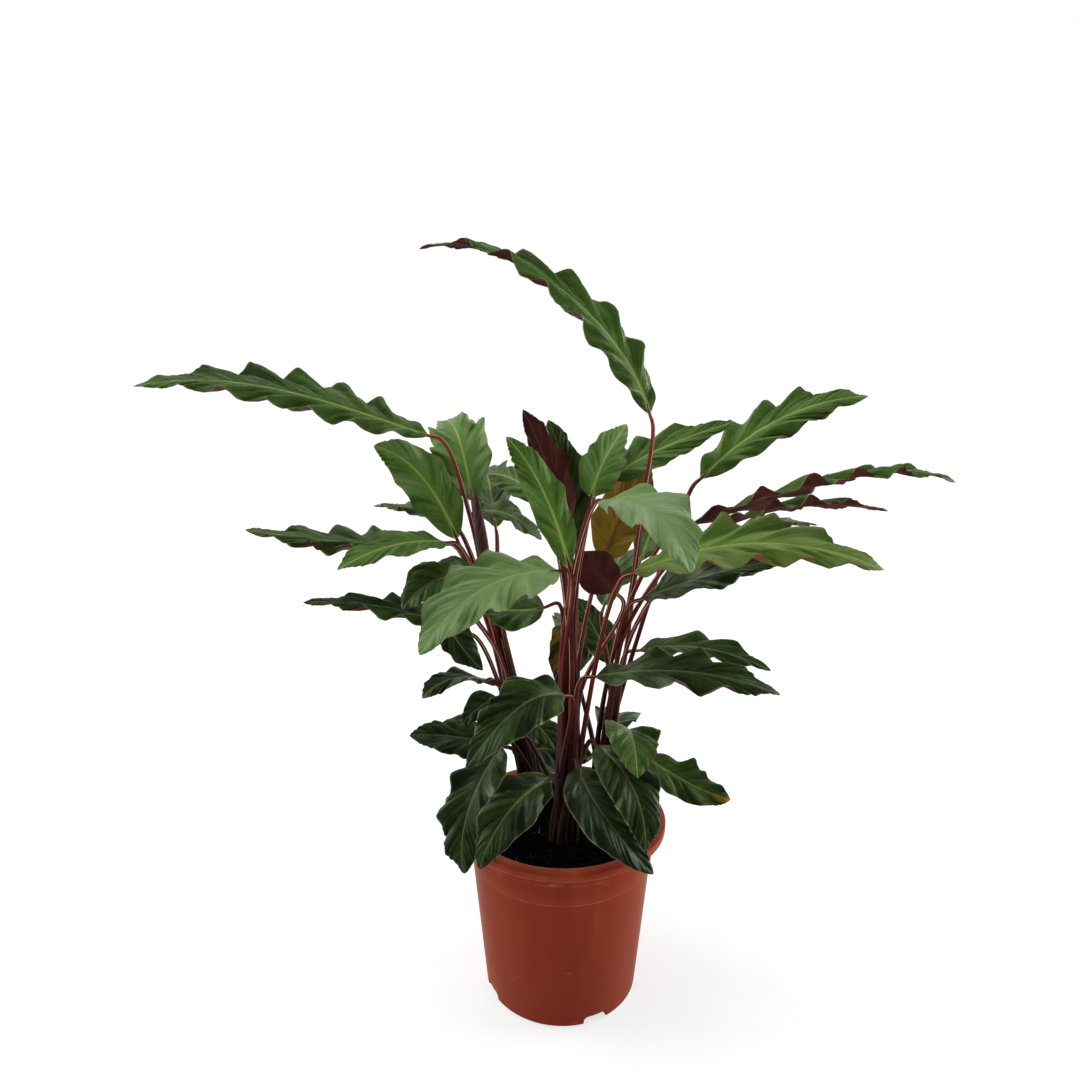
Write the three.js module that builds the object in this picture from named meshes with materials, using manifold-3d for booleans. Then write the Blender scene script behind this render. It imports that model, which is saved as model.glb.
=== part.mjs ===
// A potted velvet calathea: a nursery pot filled with soil, three leafy shoots standing in it, and
// their lance-shaped leaves with waved margins. Millimetres, +Z up, the origin at the middle of the
// pot's underside. +X is to the right and -Y to the front.
import * as THREE from "three";
import { mergeVertices } from "three/addons/utils/BufferGeometryUtils.js";
import Module from "manifold-3d";

const wasm = await Module();
wasm.setup();

// Gap between pieces that touch
const FIT_GAP = 0.3;

// Pot
const POT_HEIGHT = 122;
const RIM_RADIUS = 70;
const MOUTH_RADIUS = 62;
const NECK_RADIUS = 61;
const BASE_RADIUS = 51.5;
const BASE_ROUND = 2.4;
const POT_WALL = 1.6;
const LIP_DEPTH = 4.8;
const LIP_WALL = 1.6;
const COLLAR_DEPTH = 21;
const COLLAR_STEP = 0.6;
const FLOOR_THICKNESS = 2.2;
const CHANNEL_INNER = 34;
const CHANNEL_OUTER = 45;
const CHANNEL_HEIGHT = 2.6;
const CHANNEL_SLOPE = 2;
const POT_SIDES = 36;

// Drain notches in the pot's lower edge
const NOTCH_COUNT = 4;
const NOTCH_WIDTH = 17;
const NOTCH_HEIGHT = 6;
const NOTCH_CORNER = 3;
const NOTCH_INNER = 42;
const NOTCH_TURN = -65;

// Soil
const SOIL_EDGE_HEIGHT = 112;
const SOIL_DOME = 3;
const SOIL_SIDES = 32;

// Crown of a shoot: the sheathed foot that all its stalks rise from
const CROWN_DEPTH = 12;
const CROWN_RISE = 7;
const CROWN_SIDES = 12;

// Leaf stalks
const STALK_FOOT_RADIUS = 1.8;
const STALK_TOP_RADIUS = 1.4;
const STALK_SIDES = 5;
const STALK_HOP = 60;
const STALK_BEND_PARTS = 2;
const STALK_FOOT_RING = 0.85;
const STALK_APPROACH = 10;
const STALK_FREE_LENGTH = 52;

// Leaf blades
const BLADE_THICKNESS = 1;
const BLADE_STEP = 6.8;
const BLADE_WIDTH = 38;
const WAVE_PITCH = 27;
const WAVE_RISE = 0.1;
const WAVE_SCALLOP = 0.07;
const VEIN_LAG = 0.5;
const PHASE_STEP = 2.4;
const MARGIN_PHASE = 1.2;
const MARGIN_LIFT = 0.05;
const OUTLINE_SKEW = 0.8;
const OUTLINE_FULLNESS = 0.7;
const BLADE_END_HALF_WIDTH = 1.3;
const SWAY_SCALE = 32 / 3;

// The rolled young leaf: a slender spindle
const FURLED_RADIUS = 4.2;
const FURLED_SIDES = 8;
const FURLED_STEPS = 9;
const FURLED_FOOT = 0.08;
const FURLED_POINT_RADIUS = 0.6;

const LEAF_GREEN = 0x3f6a35;
const LEAF_DARK = 0x26402a;
const DARK_BELOW = 225;
const STALK_RED = 0x6e3430;
const SPEAR_PURPLE = 0x4b2430;
const SOIL_BLACK = 0x17120f;
const POT_TERRACOTTA = 0xa5482f;

function leafColour(height) {
  return height < DARK_BELOW ? LEAF_DARK : LEAF_GREEN;
}

// One leaf: where its blade joins the stalk, a point half way along the midrib, and its tip. The
// options are width, sway (how far the midrib swings towards this side three quarters of the way along,
// and away from it at one quarter), face (where the upper face looks, at the join), tipFace (the same
// at the tip), leave (the height where its stalk leaves the shoot), furled (a young leaf that is still
// rolled). Low leaves are darker.
function leaf(join, middle, tip, options = {}) {
  const face = options.face ?? [0, -0.3, 1];
  return {
    join: new THREE.Vector3(...join),
    middle: new THREE.Vector3(...middle),
    tip: new THREE.Vector3(...tip),
    width: options.width ?? BLADE_WIDTH,
    face: new THREE.Vector3(...face),
    tipFace: new THREE.Vector3(...(options.tipFace ?? face)),
    sway: new THREE.Vector3(...(options.sway ?? [0, 0, 0])),
    leave: options.leave,
    furled: options.furled ?? false,
    colour: options.furled ? SPEAR_PURPLE : leafColour(join[2]),
  };
}

// The shoots. An axis runs up the middle of the bundle of stalks, and spread is the bundle's radius.
const SHOOTS = [
  {
    name: "left",
    axis: [
      [-17, 30, 105], [-22, 29, 134], [-31, 28, 180], [-39, 26, 215], [-45, 24, 245], [-51, 20, 290],
      [-61, 16, 334],
    ],
    spread: 8,
    crown: 11,
    leaves: [
      leaf([-85, 8, 376], [-170, 4, 403], [-262, 0, 406], {
        width: 34, sway: [0, 0, 2], face: [0, -0.6, 1],
      }),
      leaf([-60, 36, 331], [-70, 50, 372], [-84, 94, 380], { width: 39, face: [0.1, -1, 0.5] }),
      leaf([-70, 26, 307], [-93, 26, 349], [-122, 24, 368], { width: 32, face: [0.1, -1, 0.3] }),
      leaf([-76, 45, 312], [-107, 75, 318], [-141, 105, 316], { width: 24, face: [0, 0, 1] }),
      leaf([-82, 30, 301], [-146, 32, 303], [-213, 34, 311], { width: 32, face: [0, -0.2, 1] }),
      leaf([-75, 5, 308], [-104, -18, 311], [-133, -40, 301], { width: 32, face: [-0.2, -0.5, 1] }),
      leaf([-66, 14, 246], [-119, 20, 261], [-174, 24, 263], { width: 30, face: [0, -0.1, 1] }),
      leaf([-78, -2, 272], [-71, -4, 251], [-52, 0, 224], { width: 26, face: [-0.3, -1, 0.3] }),
      leaf([-56, 0, 286], [-80, -10, 287], [-99, -22, 272], { width: 38, face: [-0.1, -0.6, 1] }),
      leaf([-43, 14, 208], [-70, 2, 218], [-91, -6, 207], {
        width: 26, face: [0, 0.5, 1], tipFace: [0, -0.6, 1],
      }),
      leaf([-43, 16, 197], [-55, 11, 194], [-67, 4, 184], { width: 20, face: [0, -0.6, 1] }),
      leaf([-42, 22, 160], [-74, 24, 166], [-105, 22, 168], { width: 34, face: [0, -0.5, 1] }),
      leaf([-53, 34, 323], [-35, 50, 318], [-13, 60, 299], { width: 30, face: [0.1, -0.5, 1] }),
      leaf([-49, 6, 292], [-53, 8, 316], [-56, 13, 342], { furled: true }),
      leaf([-41, 0, 170], [-59, -44, 148], [-62, -50, 110], { width: 37, face: [-0.4, -0.9, 0.5] }),
      leaf([-46, 62, 308], [-56, 130, 338], [-62, 200, 326], { width: 36, face: [0, 0.3, 1] }),
      leaf([-34, 62, 150], [-48, 100, 152], [-62, 136, 122], { width: 34, face: [-0.2, 0.4, 1] }),
      leaf([-24, 47, 146], [-1, 53, 142], [25, 57, 134], { width: 32, face: [0, -1, 0.7] }),
    ],
  },
  {
    name: "centre",
    axis: [[1, -18, 105], [3, -19, 140], [5, -22, 213], [4, -24, 253], [4, -26, 300]],
    spread: 8.5,
    crown: 12,
    leaves: [
      leaf([-4, -30, 298], [-46, -72, 298], [-76, -105, 272], { width: 42, face: [-0.2, -0.75, 1] }),
      leaf([-12, -12, 270], [-30, -8, 267], [-52, -2, 268], { width: 32, face: [0, -0.8, 1] }),
      leaf([3, -28, 300], [-13, -16, 345], [-35, -6, 376], { width: 23, face: [0.2, -1, 0.1] }),
      leaf([3, 4, 317], [-9, 6, 358], [-25, 4, 392], { width: 25, face: [0.5, 0.9, 0.3] }),
      leaf([9, 20, 303], [2, 28, 349], [-9, 36, 384], { width: 27, face: [0.1, -0.9, 0.5] }),
      leaf([18, 4, 338], [26, 14, 359], [43, 40, 381], { width: 27, face: [0.2, -1, 0.5] }),
      leaf([30, 22, 346], [65, 36, 365], [115, 46, 382], { width: 29, face: [0.1, -0.7, 1] }),
      leaf([42, -34, 298], [109, -50, 319], [178, -60, 306], { width: 40, face: [0, -0.45, 1], leave: 150 }),
      leaf([23, -40, 342], [46, -80, 342], [60, -112, 317], { width: 40, face: [0.3, -0.9, 0.8] }),
      leaf([20, -32, 232], [74, -48, 241], [125, -58, 231], { width: 36, face: [0, -0.25, 1] }),
      leaf([41, -16, 190], [41, -50, 200], [41, -76, 188], { width: 33, face: [0.1, -0.5, 1] }),
      leaf([21, -34, 187], [39, -74, 180], [45, -88, 150], { width: 31, face: [0.3, -1, 0.6] }),
      leaf([9, -34, 173], [23, -64, 158], [51, -80, 130], { width: 33, face: [0.2, -0.9, 0.7] }),
      leaf([0, -38, 222], [-26, -64, 226], [-56, -80, 196], { width: 34, face: [-0.2, -0.9, 0.8] }),
      leaf([-8, -34, 165], [-33, -66, 161], [-50, -74, 129], { width: 30, face: [-0.2, -1, 0.6] }),
      leaf([-27, 8, 191], [-14, -2, 184], [-4, -10, 173], { width: 22, face: [0.1, -0.6, 1] }),
      leaf([9, 30, 249], [5, 44, 219], [1, 50, 190], { width: 28, face: [0.1, 1, 0.2] }),
      leaf([28, 34, 291], [43, 42, 324], [60, 52, 355], { width: 36, face: [0.4, 1, 0.3] }),
      leaf([32, -6, 279], [21, -3, 291], [9, 0, 303], { width: 28, face: [0, 1, 0.3] }),
      leaf([-14, 50, 327], [-32, 75, 339], [-53, 100, 341], { width: 28, face: [0, -0.8, 1] }),
      leaf([0, 62, 318], [-4, 130, 344], [-6, 198, 336], { width: 36, face: [0, 0.2, 1] }),
    ],
  },
  {
    name: "right",
    axis: [
      [28, 30, 105], [30, 29, 150], [36, 26, 194], [42, 23, 238], [46, 20, 262], [50, 17, 290],
      [53, 14, 330],
    ],
    spread: 8,
    crown: 11,
    leaves: [
      leaf([54, 12, 390], [-4, 0, 464], [-84, -10, 484], {
        width: 33, sway: [-4, 0, 3], face: [0.3, -1, 0.5], tipFace: [0, 0.15, 1],
      }),
      leaf([95, 44, 345], [149, 54, 384], [210, 60, 399], { width: 34, face: [-0.1, -0.7, 1], leave: 150 }),
      leaf([81, 14, 318], [170, 0, 349], [238, -12, 349], {
        width: 32, sway: [0, 0, 2], face: [0, 0.6, 1], tipFace: [0, -0.25, 1],
      }),
      leaf([88, 34, 302], [151, 40, 325], [223, 44, 322], { width: 30, face: [0, 0.3, 1] }),
      leaf([99, 60, 295], [152, 86, 305], [197, 104, 301], { width: 26, face: [0, -0.1, 1] }),
      leaf([52, 2, 272], [94, -6, 290], [139, -12, 301], { width: 37, face: [0, -0.25, 1] }),
      leaf([55, 36, 225], [98, 26, 230], [140, 12, 219], { width: 31, face: [0, -0.2, 1] }),
      leaf([56, 4, 162], [84, -10, 149], [109, -20, 143], { width: 28, face: [0.1, -0.8, 1] }),
      leaf([57, 60, 284], [70, 84, 309], [79, 100, 326], { width: 24, face: [0, -0.6, 1] }),
      leaf([36, 46, 212], [25, 60, 233], [13, 74, 252], { width: 24, face: [0.1, -1, 0.4] }),
      leaf([32, 62, 250], [50, 130, 272], [60, 198, 244], { width: 37, face: [0, 0.2, 1] }),
      leaf([14, 62, 200], [14, 130, 216], [10, 194, 190], { width: 35, face: [0, 0.2, 1] }),
      leaf([36, 60, 150], [48, 96, 152], [56, 130, 126], { width: 33, face: [0.2, 0.4, 1] }),
    ],
  },
];

function material(colour, roughness) {
  return new THREE.MeshStandardMaterial({ color: colour, roughness, metalness: 0 });
}

function closedGeometry(positions, faces) {
  const geometry = new THREE.BufferGeometry();
  geometry.setAttribute("position", new THREE.Float32BufferAttribute(positions, 3));
  geometry.setIndex(faces);
  return geometry;
}

function toSolid(geometry) {
  geometry.deleteAttribute("normal");
  geometry.deleteAttribute("uv");
  const merged = mergeVertices(geometry, 1e-4);
  return new wasm.Manifold(new wasm.Mesh({
    numProp: 3,
    vertProperties: new Float32Array(merged.attributes.position.array),
    triVerts: new Uint32Array(merged.index.array),
  }));
}

function toGeometry(solid) {
  const mesh = solid.getMesh();
  return closedGeometry(Array.from(mesh.vertProperties), Array.from(mesh.triVerts));
}

function lathe(profile, sides) {
  const points = profile.map(([radius, height]) => new THREE.Vector2(radius, height));
  return new THREE.LatheGeometry(points, sides).rotateX(Math.PI / 2);
}

// A solid swept through points, round in section, with a direction and a radius for each point
function sweptSolid(points, directions, radii, sides) {
  const positions = [];
  const faces = [];
  let across = new THREE.Vector3(1, 0, 0);
  for (let i = 0; i < points.length; i++) {
    const along = directions[i];
    across = across.addScaledVector(along, -across.dot(along)).normalize();
    const third = along.clone().cross(across);
    for (let k = 0; k < sides; k++) {
      const angle = (2 * Math.PI * k) / sides;
      const corner = points[i].clone();
      corner.addScaledVector(across, radii[i] * Math.cos(angle));
      corner.addScaledVector(third, radii[i] * Math.sin(angle));
      positions.push(corner.x, corner.y, corner.z);
    }
  }
  for (let i = 0; i + 1 < points.length; i++) {
    for (let k = 0; k < sides; k++) {
      const a = i * sides + k;
      const b = i * sides + ((k + 1) % sides);
      faces.push(a, b, b + sides, a, b + sides, a + sides);
    }
  }
  const last = (points.length - 1) * sides;
  for (let k = 1; k + 1 < sides; k++) {
    faces.push(0, k + 1, k, last, last + k, last + k + 1);
  }
  return closedGeometry(positions, faces);
}

// The midrib is the parabola through the join, the middle and the tip.
function ribPoint(blade, t) {
  const { join, middle, tip } = blade;
  const near = 1 - t;
  return new THREE.Vector3()
    .addScaledVector(join, near * (1 - 2 * t))
    .addScaledVector(middle, 4 * t * near)
    .addScaledVector(tip, t * (2 * t - 1))
    .addScaledVector(blade.sway, SWAY_SCALE * t * near * (2 * t - 1));
}

function ribDirection(blade, t) {
  const { join, middle, tip } = blade;
  return new THREE.Vector3()
    .addScaledVector(join, 4 * t - 3)
    .addScaledVector(middle, 4 - 8 * t)
    .addScaledVector(tip, 4 * t - 1)
    .addScaledVector(blade.sway, SWAY_SCALE * (6 * t * (1 - t) - 1))
    .normalize();
}

function ribLength(blade) {
  const steps = 24;
  let length = 0;
  for (let i = 0; i < steps; i++) {
    length += ribPoint(blade, i / steps).distanceTo(ribPoint(blade, (i + 1) / steps));
  }
  return length;
}

// Half the blade's width at t, as a share of its greatest half width
function outline(t) {
  return Math.sin(Math.PI * t ** OUTLINE_SKEW) ** OUTLINE_FULLNESS;
}

// A blade: a row of upper and lower points at the left margin, the midrib and the right margin,
// at steps along the midrib. Both margins wave up and down, each with its own phase.
function bladeGeometry(blade, phase) {
  const length = ribLength(blade);
  const steps = Math.max(10, Math.round(length / BLADE_STEP));
  const waves = length / WAVE_PITCH;
  const positions = [];
  for (let i = 0; i <= steps; i++) {
    const t = i / steps;
    const along = ribDirection(blade, t);
    const up = blade.face.clone().lerp(blade.tipFace, t);
    up.addScaledVector(along, -up.dot(along)).normalize();
    const across = along.clone().cross(up);
    const share = i === 0 || i === steps ? 0 : outline(t);
    const half = Math.max(BLADE_END_HALF_WIDTH, (blade.width / 2) * share);
    for (const side of [-1, 0, 1]) {
      const turn = 2 * Math.PI * waves * t - VEIN_LAG * Math.PI + phase + side * MARGIN_PHASE;
      const wave = Math.abs(side) * share * Math.sin(turn);
      const point = ribPoint(blade, t);
      point.addScaledVector(across, side * half * (1 + WAVE_SCALLOP * wave));
      point.addScaledVector(up, blade.width * WAVE_RISE * wave + Math.abs(side) * half * MARGIN_LIFT);
      for (const shift of [0.5, -0.5]) {
        const corner = point.clone().addScaledVector(up, shift * BLADE_THICKNESS);
        positions.push(corner.x, corner.y, corner.z);
      }
    }
  }
  // Each step holds six points: left upper, left lower, rib upper, rib lower, right upper, right lower
  const faces = [];
  const quad = (a, b, c, d) => faces.push(a, b, c, a, c, d);
  for (let i = 0; i < steps; i++) {
    const here = 6 * i;
    const next = here + 6;
    quad(here, here + 2, next + 2, next);
    quad(here + 2, here + 4, next + 4, next + 2);
    faces.push(here + 1, next + 3, here + 3, here + 1, next + 1, next + 3);
    faces.push(here + 3, next + 5, here + 5, here + 3, next + 3, next + 5);
    quad(here + 1, here, next, next + 1);
    quad(here + 4, here + 5, next + 5, next + 4);
  }
  const last = 6 * steps;
  quad(0, 1, 3, 2);
  quad(2, 3, 5, 4);
  quad(last + 1, last, last + 2, last + 3);
  quad(last + 3, last + 2, last + 4, last + 5);
  return closedGeometry(positions, faces);
}

// The middle of the shoot's bundle at a height
function axisPoint(shoot, height) {
  const axis = shoot.axis;
  let i = 0;
  while (i + 2 < axis.length && axis[i + 1][2] < height) i++;
  const low = new THREE.Vector3(...axis[i]);
  const high = new THREE.Vector3(...axis[i + 1]);
  return low.lerp(high, (height - low.z) / (high.z - low.z));
}

// Each stalk's place in the bundle, off its axis: in the order of the leaves' headings, so that few
// stalks cross, and those of high leaves near the middle
function stalkOffsets(shoot) {
  const heading = ({ join }) => {
    const middle = axisPoint(shoot, join.z);
    return Math.atan2(join.y - middle.y, join.x - middle.x);
  };
  const byHeading = [...shoot.leaves].sort((a, b) => heading(a) - heading(b));
  const byHeight = [...shoot.leaves].sort((a, b) => b.join.z - a.join.z);
  return shoot.leaves.map((blade) => {
    const angle = (2 * Math.PI * byHeading.indexOf(blade)) / byHeading.length - Math.PI;
    const ring = shoot.spread * Math.sqrt((byHeight.indexOf(blade) + 0.5) / byHeight.length);
    return new THREE.Vector3(ring * Math.cos(angle), ring * Math.sin(angle), 0);
  });
}

// A leaf's stalk: up its place in the bundle, then out to the blade's join
function stalkSolid(shoot, blade, offset) {
  const foot = axisPoint(shoot, SOIL_EDGE_HEIGHT - CROWN_DEPTH / 2);
  const top = shoot.axis[shoot.axis.length - 1][2];
  const start = ribDirection(blade, 0);
  const end = blade.join.clone().addScaledVector(start, -FIT_GAP);
  const approach = blade.join.clone().addScaledVector(start, -STALK_APPROACH);
  const lowest = SOIL_EDGE_HEIGHT + 2 * CROWN_RISE;
  const leave = blade.leave ?? Math.max(lowest, Math.min(approach.z - STALK_FREE_LENGTH, top));
  const route = [foot.clone().addScaledVector(offset, STALK_FOOT_RING)];
  const hops = Math.max(1, Math.round((leave - SOIL_EDGE_HEIGHT) / STALK_HOP));
  for (let i = 1; i <= hops; i++) {
    const height = SOIL_EDGE_HEIGHT + ((leave - SOIL_EDGE_HEIGHT) * i) / hops;
    route.push(axisPoint(shoot, height).add(offset));
  }
  route.push(approach, end);
  const curve = new THREE.CatmullRomCurve3(route, false, "centripetal");
  const spans = route.length - 1;
  const places = [0];
  for (let i = 0; i < spans; i++) {
    const parts = i < hops ? 1 : STALK_BEND_PARTS;
    for (let k = 1; k <= parts; k++) places.push((i + k / parts) / spans);
  }
  const radii = places.map((u) => THREE.MathUtils.lerp(STALK_FOOT_RADIUS, STALK_TOP_RADIUS, u));
  return toSolid(sweptSolid(
    places.map((u) => curve.getPoint(u)),
    places.map((u) => (u === 1 ? start : curve.getTangent(u))),
    radii,
    STALK_SIDES,
  ));
}

function crownProfile(radius, grow) {
  const soil = SOIL_EDGE_HEIGHT;
  return [
    [0, soil - CROWN_DEPTH - grow],
    [radius * 0.75 + grow, soil - CROWN_DEPTH - grow],
    [radius + grow, soil - CROWN_DEPTH * 0.4],
    [radius + grow, soil + SOIL_DOME + grow],
    [radius * 0.8 + grow, soil + CROWN_RISE + 2 * grow],
    [0, soil + CROWN_RISE + 2 * grow],
  ];
}

function crownSolid(shoot, grow) {
  const [x, y] = shoot.axis[0];
  return toSolid(lathe(crownProfile(shoot.crown, grow), CROWN_SIDES).translate(x, y, 0));
}

// The crown and its stalks in one body, without the scraps and sealed hollows that joining leaves
function stalksGeometry(shoot) {
  const offsets = stalkOffsets(shoot);
  const bundle = shoot.leaves.reduce(
    (solid, blade, i) => solid.add(stalkSolid(shoot, blade, offsets[i])),
    crownSolid(shoot, 0),
  );
  const bodies = bundle.decompose().sort((a, b) => b.volume() - a.volume());
  return toGeometry(bodies[0]);
}

function furledGeometry(blade) {
  const places = Array.from({ length: FURLED_STEPS + 1 }, (_, i) => i / FURLED_STEPS);
  const radius = (t) => FURLED_RADIUS * outline(FURLED_FOOT + (1 - FURLED_FOOT) * t);
  return sweptSolid(
    places.map((t) => ribPoint(blade, t)),
    places.map((t) => ribDirection(blade, t)),
    places.map((t) => Math.max(FURLED_POINT_RADIUS, radius(t))),
    FURLED_SIDES,
  );
}

function wallRadius(height) {
  const low = BASE_RADIUS;
  const high = NECK_RADIUS - COLLAR_STEP;
  return THREE.MathUtils.lerp(low, high, height / (POT_HEIGHT - COLLAR_DEPTH));
}

function potGeometry() {
  const top = POT_HEIGHT;
  const collar = top - COLLAR_DEPTH;
  const floorTop = CHANNEL_HEIGHT + FLOOR_THICKNESS;
  const profile = [
    [0, 0],
    [CHANNEL_INNER, 0],
    [CHANNEL_INNER + CHANNEL_SLOPE, CHANNEL_HEIGHT],
    [CHANNEL_OUTER - CHANNEL_SLOPE, CHANNEL_HEIGHT],
    [CHANNEL_OUTER, 0],
    [BASE_RADIUS - BASE_ROUND, 0],
    [BASE_RADIUS - 0.3 * BASE_ROUND, 0.3 * BASE_ROUND],
    [wallRadius(BASE_ROUND), BASE_ROUND],
    [wallRadius(collar), collar],
    [NECK_RADIUS, collar + COLLAR_STEP],
    [NECK_RADIUS + 0.4, top - LIP_WALL],
    [RIM_RADIUS - LIP_WALL, top - LIP_WALL],
    [RIM_RADIUS - LIP_WALL, top - LIP_DEPTH],
    [RIM_RADIUS - 0.2, top - LIP_DEPTH],
    [RIM_RADIUS, top - 0.8],
    [RIM_RADIUS - 0.8, top],
    [MOUTH_RADIUS + 0.6, top],
    [NECK_RADIUS - POT_WALL, top - LIP_DEPTH],
    [wallRadius(collar) - POT_WALL, collar],
    [wallRadius(floorTop) - POT_WALL, floorTop],
    [0, floorTop],
  ];
  let pot = toSolid(lathe(profile, POT_SIDES));
  const arch = new THREE.Shape();
  const half = NOTCH_WIDTH / 2;
  arch.moveTo(-half, -1);
  arch.lineTo(half, -1);
  arch.lineTo(half, NOTCH_HEIGHT - NOTCH_CORNER);
  arch.lineTo(half - NOTCH_CORNER, NOTCH_HEIGHT);
  arch.lineTo(NOTCH_CORNER - half, NOTCH_HEIGHT);
  arch.lineTo(-half, NOTCH_HEIGHT - NOTCH_CORNER);
  const depth = BASE_RADIUS + 4 - NOTCH_INNER;
  for (let i = 0; i < NOTCH_COUNT; i++) {
    const cutter = new THREE.ExtrudeGeometry(arch, { depth, bevelEnabled: false });
    cutter.rotateX(Math.PI / 2).translate(0, -NOTCH_INNER, 0);
    cutter.rotateZ(THREE.MathUtils.degToRad(90 + NOTCH_TURN + (360 * i) / NOTCH_COUNT));
    pot = pot.subtract(toSolid(cutter));
  }
  return toGeometry(pot);
}

function soilGeometry() {
  const bottom = CHANNEL_HEIGHT + FLOOR_THICKNESS + FIT_GAP;
  const reach = (height) => wallRadius(height) - POT_WALL - FIT_GAP;
  const collar = POT_HEIGHT - COLLAR_DEPTH;
  const profile = [
    [0, bottom],
    [reach(bottom), bottom],
    [reach(collar), collar],
    [reach(collar), SOIL_EDGE_HEIGHT],
    [reach(collar) * 0.7, SOIL_EDGE_HEIGHT + SOIL_DOME * 0.7],
    [0, SOIL_EDGE_HEIGHT + SOIL_DOME],
  ];
  return toGeometry(SHOOTS.reduce(
    (soil, shoot) => soil.subtract(crownSolid(shoot, FIT_GAP)),
    toSolid(lathe(profile, SOIL_SIDES)),
  ));
}

function named(name, geometry, colour, roughness) {
  const mesh = new THREE.Mesh(geometry, material(colour, roughness));
  mesh.name = name;
  return mesh;
}

const plant = new THREE.Group();
plant.add(named("pot", potGeometry(), POT_TERRACOTTA, 0.45));
plant.add(named("soil", soilGeometry(), SOIL_BLACK, 0.95));
for (const shoot of SHOOTS) {
  const group = new THREE.Group();
  group.name = `${shoot.name}_shoot`;
  group.add(named(`${shoot.name}_stalks`, stalksGeometry(shoot), STALK_RED, 0.6));
  shoot.leaves.forEach((blade, i) => {
    const number = String(i + 1).padStart(2, "0");
    const geometry = blade.furled ? furledGeometry(blade) : bladeGeometry(blade, PHASE_STEP * i);
    group.add(named(`${shoot.name}_leaf_${number}`, geometry, blade.colour, 0.6));
  });
  plant.add(group);
}

export default plant;
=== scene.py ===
"""The look of a potted velvet calathea.

Every solid of the frame gets a finer piece of the same form: waved blades with their veins, fluted and
hairy stalks, crumbly soil and a moulded pot. The scene is in metres, +Z up, with the origin at the middle
of the pot's underside, +X to the right and -Y to the front. A size is in metres where MM stands beside
it or its class says so. The leaves and the shoots are given in millimetres.
"""
from __future__ import annotations

import logging
import math
import random
from collections.abc import Callable, Iterable, Mapping, Sequence
from dataclasses import dataclass
from enum import Enum
from typing import Any

import bpy
from mathutils import Euler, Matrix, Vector

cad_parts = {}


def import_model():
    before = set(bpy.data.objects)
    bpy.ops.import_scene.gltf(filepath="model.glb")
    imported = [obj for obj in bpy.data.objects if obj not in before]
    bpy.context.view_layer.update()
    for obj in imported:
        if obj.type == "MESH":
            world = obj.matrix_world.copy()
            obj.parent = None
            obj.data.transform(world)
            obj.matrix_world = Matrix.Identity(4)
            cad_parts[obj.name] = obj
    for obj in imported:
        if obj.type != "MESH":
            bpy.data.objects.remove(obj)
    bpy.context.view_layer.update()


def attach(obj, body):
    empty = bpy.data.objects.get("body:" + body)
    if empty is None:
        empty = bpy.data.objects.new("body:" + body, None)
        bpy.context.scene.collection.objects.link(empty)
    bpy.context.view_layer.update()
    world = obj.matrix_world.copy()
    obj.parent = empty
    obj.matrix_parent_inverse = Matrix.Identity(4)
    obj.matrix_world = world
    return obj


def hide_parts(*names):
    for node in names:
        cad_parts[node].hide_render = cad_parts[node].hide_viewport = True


log = logging.getLogger("calathea")

MM = 0.001
TURN = 2 * math.pi
BODY = "root"
BAKE_MAP = "OFBake"
VEIN_PITCH = 8 * MM
TURN_SEED, SIZE_SEED = 5, 6

Triple = tuple[float, float, float]


# Node trees


def number_operator(operation: str, reflected: bool = False) -> Callable[[Value, Any], Value]:
    """Makes an operator of Value.

    Args:
        operation: the Math node's operation.
        reflected: whether the value stands on the right.

    Returns:
        The operator.
    """

    def operate(value: Value, other: Value | float) -> Value:
        """Adds a Math node on a value and another number."""
        return value.graph.math(operation, *((other, value) if reflected else (value, other)))

    return operate


class Link:
    """An output socket of a node, with the graph that it is in."""

    def __init__(self, graph: Graph, socket: bpy.types.NodeSocket) -> None:
        """Wraps the socket."""
        self.graph = graph
        self.socket = socket


class Value(Link):
    """A number's socket in a node tree. Arithmetic on it adds Math nodes."""

    __add__, __radd__ = number_operator("ADD"), number_operator("ADD", True)
    __sub__, __rsub__ = number_operator("SUBTRACT"), number_operator("SUBTRACT", True)
    __mul__, __rmul__ = number_operator("MULTIPLY"), number_operator("MULTIPLY", True)
    __truediv__, __rtruediv__ = number_operator("DIVIDE"), number_operator("DIVIDE", True)
    __pow__, at_least, at_most = map(number_operator, ("POWER", "MAXIMUM", "MINIMUM"))

    def apply(self, operation: str) -> Value:
        """The result of a Math operation on this number alone, such as SINE."""
        return self.graph.math(operation, self)

    def size(self) -> Value:
        """The number without its sign."""
        return self.apply("ABSOLUTE")

    def from_line(self, pitch: float) -> Value:
        """How far off the nearest of many even lines is: 0 on a line and 0.5 midway."""
        return ((self / pitch + 0.5).apply("FRACT") - 0.5).size()

    def ramp(self, low: float, high: float) -> Value:
        """A smooth step, which falls where high is less than low.

        Args:
            low: where it is 0.
            high: where it is 1.

        Returns:
            The step.
        """
        inputs = {"Value": self, "From Min": low, "From Max": high}
        node = self.graph.node("ShaderNodeMapRange", {"interpolation_type": "SMOOTHSTEP"}, inputs)
        return Value(self.graph, node.outputs["Result"])


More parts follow.
